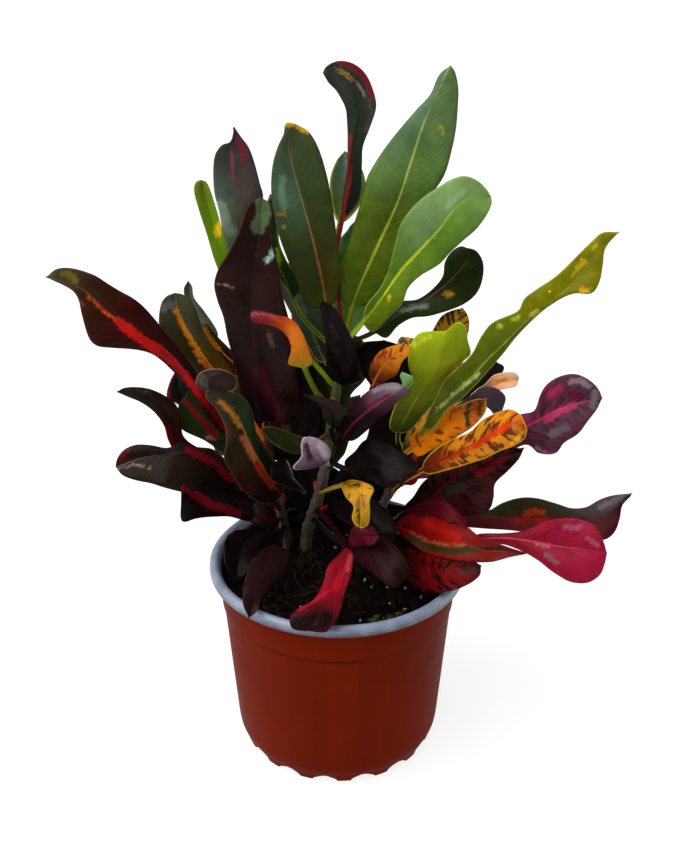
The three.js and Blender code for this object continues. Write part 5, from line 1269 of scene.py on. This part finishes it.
def plain_sheet(stem, leaf, number):
    """A leaf given by its line and width, without thickness: its points by row and column, each side's half
    width, its rows and its length. Each row is turned by roll and twist about the midrib, and its halves
    rise in a V by fold, bowing as they leave the rib."""
    line, _ = catmull((on_stem(stem, leaf["at"]), *leaf["by"]))
    length = length_of(line)
    stalk = leaf.get("stalk", 14) / length
    places, v = leaf_rows(stalk)
    chord = line[-1] - line[0]
    facing = math.radians(leaf["facing"]) if "facing" in leaf else math.atan2(chord[1], chord[0])
    level = np.array([-math.sin(facing), math.cos(facing), 0])
    middle = along(line, places)
    ways = unit(along(np.gradient(line, axis=0), places))
    side = unit(level - (ways @ level)[:, None] * ways)
    turn = np.radians(leaf.get("roll", 0) + leaf.get("twist", 0) * places)[:, None]
    side = side * np.cos(turn) + np.cross(ways, side) * np.sin(turn)
    up = np.cross(ways, side)
    phases = np.random.default_rng(number).random(2) * TAU
    blade = length * (1 - stalk)
    # the edge is uneven over 19 and 7 mm
    uneven = 1 + 0.035 * np.sin(TAU * v * blade / 19 + phases[0])
    uneven = uneven + 0.02 * np.sin(TAU * v * blade / 7 + phases[1])
    wide = leaf["wide"] / 2 * outline(v, leaf.get("taper", (0.9, 0.5))) * uneven
    half = np.maximum(stalk_half(v), wide[:, None])
    fold = (np.radians(leaf["fold"]) * np.minimum(1, 4 * v))[:, None]
    u = ACROSS
    sheet = middle[:, None] + side[:, None] * (u * half * np.cos(fold))[..., None]
    sheet = sheet + up[:, None] * (np.abs(u) ** 0.85 * half * np.sin(fold))[..., None]
    return sheet, half + 0 * u, places, v, length


def seen_sheet(stem, leaf):
    """A leaf given by its midrib and edges as they are seen, without thickness, as plain_sheet returns it.
    An edge's depth is the midrib's, plus lean times its height above it, less vee times its distance from
    it. Each row goes straight from one edge to the rib and on to the other, but for a low bow in each
    half."""
    rib = numbers(leaf["mid"])
    line, _ = catmull(np.vstack([on_stem(stem, leaf["at"]), seen(rib[:, :2], rib[:, 2])]))
    length = length_of(line)
    order = ("right", "left") if leaf.get("back") else ("left", "right")
    sides = [numbers(leaf[side]) for side in order]
    # the blade starts a little before the rib passes between the edges' first points
    spots = picture_spots(line)
    start = int(np.argmin(np.linalg.norm(spots - (sides[0][0] + sides[1][0]) / 2, axis=1)))
    stalk = leaf["stalk"] / length if "stalk" in leaf else max(start - 12, 5) / (len(line) - 1)
    places, v = leaf_rows(stalk)
    middle = along(line, places)
    # for its depth, an edge's point is taken beside the rib between 6 and 96 hundredths of the blade's length
    offs = []
    for side in sides:
        run = np.concatenate([[0], np.cumsum(np.hypot(*np.diff(side, axis=0).T))])
        near = along(line, stalk + (1 - stalk) * (0.06 + 0.9 * run / run[-1]))
        flat = seen(side, near[:, 1]) - near
        depth = near[:, 1] + leaf.get("lean", 0) * flat[:, 2]
        depth = depth - leaf.get("vee", 0.1) * np.linalg.norm(flat, axis=1)
        edge, _ = catmull(np.vstack([along(line, np.array([stalk])), seen(side, depth), line[-1:]]))
        offs.append(along(edge, v) - middle)
    # near its ends, where its edges meet the rib, the blade keeps the way across of the rows further on
    ways = unit(along(np.gradient(line, axis=0), places))
    steady = np.clip(np.arange(len(v)), 12, len(v) - 4)
    across = (offs[0] - offs[1])[steady]
    across = unit(across - np.sum(across * ways, 1, keepdims=True) * ways)
    up = np.cross(ways, across)
    least = stalk_half(v)
    for k, sign in ((0, 1), (1, -1)):
        reach = np.linalg.norm(offs[k], axis=1, keepdims=True)
        offs[k] = np.where((v == 0)[:, None] | (reach < least), sign * least * across, offs[k])
    u = ACROSS
    off = np.where((u > 0)[None, :, None], offs[0][:, None], offs[1][:, None])
    half = np.linalg.norm(off, axis=2)
    bow = 0.07 * half * np.sin(np.pi * np.abs(u)) * (v > 0)[:, None]
    sheet = middle[:, None] + np.abs(u)[:, None] * off + up[:, None] * bow[..., None]
    return sheet, half, places, v, length


def leaf_grid(stem, leaf, number):
    """A leaf's surface, as rows along its midrib and columns round its section: across the upper face from
    one edge to the other and back across the underside. Its edges wave, a small ripple runs over it, and
    the midrib is a groove above and a ridge below. Returns the points and, for each, how far across and
    along it lies, its distance from the edge and the rib, and whether it lies on the underside."""
    made = seen_sheet(stem, leaf) if "mid" in leaf else plain_sheet(stem, leaf, number)
    sheet, half, places, v, length = made
    blade = length * (places[-1] - places[STALK_ROWS])
    phases = np.random.default_rng(number).random(6)[2:] * TAU
    u, v = ACROSS, v[:, None]
    swell = half / half.max()
    waves = max(1, round(blade / WAVE_LENGTH))
    wave = leaf.get("wave", 0.5)
    rise = wave * np.sin(TAU * waves * v + np.where(u > 0, 0, 2.1)) * swell * u * u
    ripple = 0.45 * wave * np.sin(TAU * v * blade / RIPPLE_LENGTH + np.where(u > 0, phases[0], phases[1]))
    rise = rise + ripple * np.abs(u) ** 1.5 * swell
    rise = rise + 0.5 * np.sin(TAU * v * blade / BUMP_LENGTH + phases[2] + 2 * u) * np.minimum(1, 4 * v)
    rib = RIB_THICK + (TIP_THICK - RIB_THICK) * v
    # it thins from the rib to the edge's thickness over 1.6 mm, and the groove is 0.9 mm wide to each side
    thick = rib + (EDGE_THICK - rib) * np.minimum(1, np.abs(u) * half / 1.6) * np.minimum(1, 8 * v)
    groove = -0.35 * np.exp(-((u * half / 0.9) ** 2)) * np.minimum(1, 5 * v) * (1 - v)
    normal = unit(np.cross(np.gradient(sheet, axis=0), np.gradient(sheet, axis=1)))
    upper = sheet + normal * (rise + thick / 2 + groove)[..., None]
    under = sheet + normal * (rise - thick / 2)[..., None]
    points = np.concatenate([upper, under[:, ::-1]], 1)
    u, half = np.concatenate([u, u[::-1]]), np.concatenate([half, half[:, ::-1]], 1)
    below = np.arange(len(u)) >= len(ACROSS)
    run = places[:, None] * length + 0 * u
    return points, u + 0 * v, v + 0 * u, half * (1 - np.abs(u)), u * half, run, below


def leaf_tints(leaf, number, points, u, v, from_edge, below):
    """The attributes that the leaf materials read: colours by share of the blade's length, the splashes of
    its own patches and of its painted highlights and sheen, and the widths and strengths of its lines. A
    splash's value grows inward from its edge, where it is 0."""
    low_side, _, high_side = leaf["face"].partition("|")
    ground = blend_stops(low_side, v)
    if high_side:
        turn = np.clip(0.5 + u * 4, 0, 1)[..., None]
        ground = ground * (1 - turn) + blend_stops(high_side, v) * turn
    ground = np.where(below[None, :, None], blend_stops(leaf["under"], v), ground)
    splash, field = ground, np.full(u.shape, -1.0)
    spots = picture_spots(points)
    for band in leaf["patches_and_highlights"].split(";") if "patches_and_highlights" in leaf else ():
        tint, reach, way = band.split(None, 2)
        reach, way = float(reach), numbers(way)
        away = np.full(u.shape, np.inf)
        for start, end in zip(way, way[1:] if len(way) > 1 else way):
            step = end - start
            share = np.clip((spots - start) @ step / max(step @ step, 1), 0, 1)
            away = np.minimum(away, np.linalg.norm(spots - start - share[..., None] * step, axis=-1))
        inside = np.minimum(SPLASH_RISE * (reach - away), 0.5)
        splash = np.where((inside > field)[..., None], colour(tint), splash)
        field = np.maximum(field, inside)
    blotch, share = leaf.get("mottle", ("ink", 0.0))
    # the noise that this value is added to lies about 0.5, and the blotch shows where the sum passes 1
    mottle = 0.37 + 0.26 * share if share else 0.0
    stalk_tint = colour(leaf.get("stem", leaf["rib"].split()[0]))
    bare = (v <= 0.0)[..., None]
    rib = np.where(bare, stalk_tint, blend_stops(leaf["rib"], v))
    ground = np.where(bare, stalk_tint, ground)
    margin = colour(leaf["edge"]) if "edge" in leaf else ground
    widths = np.stack([
        leaf.get("rib_wide", 1.2) / 2 * (1 - 0.65 * v),
        leaf.get("bleed", NOWHERE) * (1 - 0.7 * v),
        (leaf.get("edge_wide", 0.5) if "edge" in leaf else NOWHERE) + 0 * v,
    ], -1)
    veins = leaf.get("veins", 0.02) * (np.where(below[None], 0.5, 1.0) + 0 * v)
    marks = np.stack([veins, leaf.get("flecks", 0.0) + 0 * v, mottle + 0 * v], -1)
    place = np.stack([from_edge, field, np.full(u.shape, NOISE_STEP * number)], -1)
    return (
        ("ground", ground), ("rib", rib), ("splash", splash),
        ("mottle", np.broadcast_to(colour(blotch), ground.shape)),
        ("margin", np.broadcast_to(margin, ground.shape)),
        ("widths", widths), ("marks", marks), ("place", place),
    )


def build_leaf(stem, name, leaf, number, materials):
    """One leaf: its surface, closed at both ends by flat faces between its upper face and its underside."""
    points, u, v, from_edge, across, run, below = leaf_grid(stem, leaf, number)
    rows, columns = u.shape
    tints = leaf_tints(leaf, number, points, u, v, from_edge, below)
    faces = grid_faces(rows, columns, closed=True)
    slots = np.tile(np.arange(columns) >= columns // 2 - 1, rows - 1).astype(int)
    ends = []
    for row, order in ((0, 1), (rows - 1, -1)):
        first = row * columns + np.arange(columns // 2 - 1)
        last = row * columns + columns - 1 - np.arange(columns // 2 - 1)
        ends.append(np.stack([first, last, last - 1, first + 1], -1)[:, ::order])
    faces = np.concatenate([faces, *ends])
    slots = np.concatenate([slots, np.ones(len(faces) - len(slots), int)])
    made = mesh_of("leaf_" + name, points, faces, materials, slots, tints, np.stack([across, run], -1))


def build_leaves(settings):
    """Every leaf of every stem."""
    materials = [
        leaf_material("croton_leaf_waxy_face", True, settings),
        leaf_material("croton_leaf_underside", False, settings),
    ]
    number = 0
    for stem, leaves in LEAVES.items():
        for name, leaf in leaves.items():
            number += 1
            build_leaf(stem, name, leaf, number, materials)


# ---------------------------------------------------------------- stage


def area_light(name, place, target, size, watts, tint):
    """A soft box at a place, turned towards a target."""
    data = bpy.data.lights.new(name, "AREA")
    data.shape = "RECTANGLE"
    data.size, data.size_y = size
    data.energy = watts
    data.color = linear(tint)
    lamp = new_object(name, data)
    lamp.location = place
    lamp.rotation_euler = (Vector(target) - Vector(place)).to_track_quat("-Z", "Y").to_euler()


def build_stage(settings):
    """A plain pale floor, a far wide key light on the upper left, soft boxes behind and to the right, a pale
    world and the camera."""
    step = np.linspace(-30, 30, 9)
    x, y = np.meshgrid(step, step)
    material, _, shader = finish("lit_white_table")
    feed(shader, ("Base Color", tuple(settings.floor)), ("Emission Color", (1, 1, 1, 1)))
    feed(shader, ("Emission Strength", settings.floor_glow), ("Roughness", 0.9), ("Specular IOR Level", 0.1))
    places = np.stack([x, y, 0 * x - 0.0002], -1) / MM
    floor = mesh_of("floor", places, grid_faces(len(step), len(step)), [material], rides=False)
    floor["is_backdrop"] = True

    world = bpy.data.worlds.new("studio")
    world.use_nodes = True
    bpy.context.scene.world = world
    tree = world.node_tree
    tree.nodes.clear()
    camera_ray = add(tree, "LightPath", out="Is Camera Ray")
    paper = add(tree, "Background", ("Color", tuple(settings.backdrop)), ("Strength", 1.0))
    glow = add(tree, "Background", ("Color", tuple(settings.sky)), ("Strength", settings.sky_strength))
    add(tree, "OutputWorld", add(tree, "MixShader", camera_ray, glow, paper), out=None)

    data = bpy.data.lights.new("key", "SUN")
    data.energy = settings.key_strength
    data.angle = settings.key_spread
    data.color = linear("#fffdf8")
    key = new_object("key", data)
    key.rotation_euler = Vector(settings.key_way).to_track_quat("Z", "Y").to_euler()
    target = (0, 0, 0.17)
    area_light("top_box", (0.1, 0.55, 1.25), target, (0.9, 0.6), settings.top_watts, "#f2f8ff")
    area_light("edge_strip", (0.95, 0.2, 0.45), target, (0.25, 0.8), settings.edge_watts, "#fff6ea")

    data = bpy.data.cameras.new("camera")
    data.sensor_fit = "VERTICAL"
    data.sensor_height = SENSOR
    data.lens = SENSOR * settings.focal_length_in_frames
    camera = new_object("camera", data)
    camera.location = settings.camera_place
    camera.rotation_euler = (math.pi / 2 - settings.camera_tilt, 0, 0)
    bpy.context.scene.camera = camera
    bpy.context.scene.view_settings.view_transform = "Standard"


# ---------------------------------------------------------------- add-on


def colour_property(name, description, default):
    """A colour setting whose default is given as an sRGB hex colour."""
    return FloatVectorProperty(
        name=name, description=description, subtype="COLOR", size=4, min=0, max=1, default=colour(default),
    )


class PotSettings(bpy.types.PropertyGroup):
    outside: colour_property("Outside", "Colour of the pot's outer layer", "#641703")
    # rim: the colour of the sky's painted reflection on the rolled rim
    rim: colour_property("Rim", "Colour that the inner layer takes on the rolled rim", "#7e889e")


class MixSettings(bpy.types.PropertyGroup):
    bark_chips: IntProperty(name="Bark chips", description="Number of bark chips", default=260, min=1)
    perlite_grains: IntProperty(
        name="Perlite", description="Number of perlite grains", default=34, min=1,
    )
    root_fibres: IntProperty(name="Root fibres", description="Number of root fibres", default=120, min=1)


class LeafSettings(bpy.types.PropertyGroup):
    face_roughness: FloatProperty(
        name="Face roughness", description="Roughness of the upper faces", default=0.3, min=0.05, max=0.7,
    )
    back_roughness: FloatProperty(
        name="Back roughness", description="Roughness of the undersides", default=0.5, min=0.05, max=0.8,
    )
    wax: FloatProperty(
        name="Wax", description="Weight of the waxy layer on the upper faces", default=0.03, min=0, max=1,
    )


class StageSettings(bpy.types.PropertyGroup):
    floor: colour_property("Floor", "Colour of the floor", "#808080")
    floor_glow: FloatProperty(
        name="Floor glow", description="Strength of the light that the table gives", default=0.84, min=0,
    )
    backdrop: colour_property("Backdrop", "Colour behind the plant", "#ffffff")
    sky: colour_property("Sky", "Colour of the light from all round", "#dfe9f6")
    sky_strength: FloatProperty(
        name="Sky strength", description="Strength of the light from all round", default=0.18, min=0,
    )
    key_strength: FloatProperty(
        name="Key", description="Strength of the key light", default=4.0, min=0,
    )
    key_spread: FloatProperty(
        name="Key spread", description="How wide the key light looks from the plant",
        default=math.radians(70), min=0, max=math.pi, subtype="ANGLE",
    )
    key_way: FloatVectorProperty(
        name="Key way", description="The way to the key light", default=(-0.62, -0.22, 1.0),
        subtype="DIRECTION",
    )
    top_watts: FloatProperty(
        name="Top", description="Power of the soft box above and behind", default=4.0, min=0, unit="POWER",
    )
    edge_watts: FloatProperty(
        name="Edge", description="Power of the strip on the right", default=2.0, min=0, unit="POWER",
    )
    camera_place: FloatVectorProperty(
        name="Camera", description="Place of the camera", default=[MM * place for place in CAMERA_PLACE],
        subtype="TRANSLATION", unit="LENGTH",
    )
    camera_tilt: FloatProperty(
        name="Tilt", description="How far the camera looks down", default=CAMERA_TILT, subtype="ANGLE",
    )
    focal_length_in_frames: FloatProperty(
        name="Focal length", description="Focal length as a multiple of the picture's height", min=0.1,
        default=FOCAL / PICTURE_HIGH,
    )


class CROTON_OT_pot(bpy.types.Operator):
    """Make the nursery pot"""

    bl_idname = "croton.pot"
    bl_label = "Nursery pot"

    def execute(self, context):
        build_pot(context.scene.croton_pot)
        return {"FINISHED"}


class CROTON_OT_mix(bpy.types.Operator):
    """Make the potting mix that fills the pot"""

    bl_idname = "croton.mix"
    bl_label = "Potting mix"

    def execute(self, context):
        build_mix(context.scene.croton_mix)
        return {"FINISHED"}


class CROTON_OT_mix_bits(bpy.types.Operator):
    """Strew bark, perlite, litter and root fibres over the mix"""

    bl_idname = "croton.mix_bits"
    bl_label = "Bits on the mix"

    def execute(self, context):
        build_mix_bits(context.scene.croton_mix)
        return {"FINISHED"}


class CROTON_OT_stems(bpy.types.Operator):
    """Make the three woody stems"""

    bl_idname = "croton.stems"
    bl_label = "Stems"

    def execute(self, context):
        build_stems(context.scene.croton_leaves)
        return {"FINISHED"}


class CROTON_OT_leaves(bpy.types.Operator):
    """Make every leaf"""

    bl_idname = "croton.leaves"
    bl_label = "Leaves"

    def execute(self, context):
        build_leaves(context.scene.croton_leaves)
        return {"FINISHED"}


class CROTON_OT_stage(bpy.types.Operator):
    """Set up the floor, the lights and the camera"""

    bl_idname = "croton.stage"
    bl_label = "Stage"

    def execute(self, context):
        build_stage(context.scene.croton_stage)
        return {"FINISHED"}


STEPS = (
    CROTON_OT_pot, CROTON_OT_mix, CROTON_OT_mix_bits, CROTON_OT_stems, CROTON_OT_leaves, CROTON_OT_stage,
)


class CROTON_PT_panel(bpy.types.Panel):
    """Lists the steps that build the plant"""

    bl_label = "Potted croton"
    bl_idname = "CROTON_PT_panel"
    bl_space_type = "VIEW_3D"
    bl_region_type = "UI"
    bl_category = "Croton"

    def draw(self, context):
        for step in STEPS:
            self.layout.operator(step.bl_idname)


SETTINGS = {
    "croton_pot": PotSettings, "croton_mix": MixSettings, "croton_leaves": LeafSettings,
    "croton_stage": StageSettings,
}
CLASSES = (*SETTINGS.values(), *STEPS, CROTON_PT_panel)


def register():
    """Register every class and hang the settings on the scene."""
    for kind in CLASSES:
        bpy.utils.register_class(kind)
    for name, kind in SETTINGS.items():
        setattr(bpy.types.Scene, name, PointerProperty(type=kind))


def unregister():
    """Take the settings and the classes away again."""
    for name in SETTINGS:
        delattr(bpy.types.Scene, name)
    for kind in reversed(CLASSES):
        bpy.utils.unregister_class(kind)


def main():
    """Build the plant and its stage."""
    register()
    bpy.ops.croton.pot()
    bpy.ops.croton.mix()
    bpy.ops.croton.mix_bits()
    bpy.ops.croton.stems()
    bpy.ops.croton.leaves()
    bpy.ops.croton.stage()
    boxes = {"solids": SOLID_BOX, "dressed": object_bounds()}
    {name: [list(corner) for corner in box] for name, box in boxes.items()}


if __name__ == "__main__":
    main()
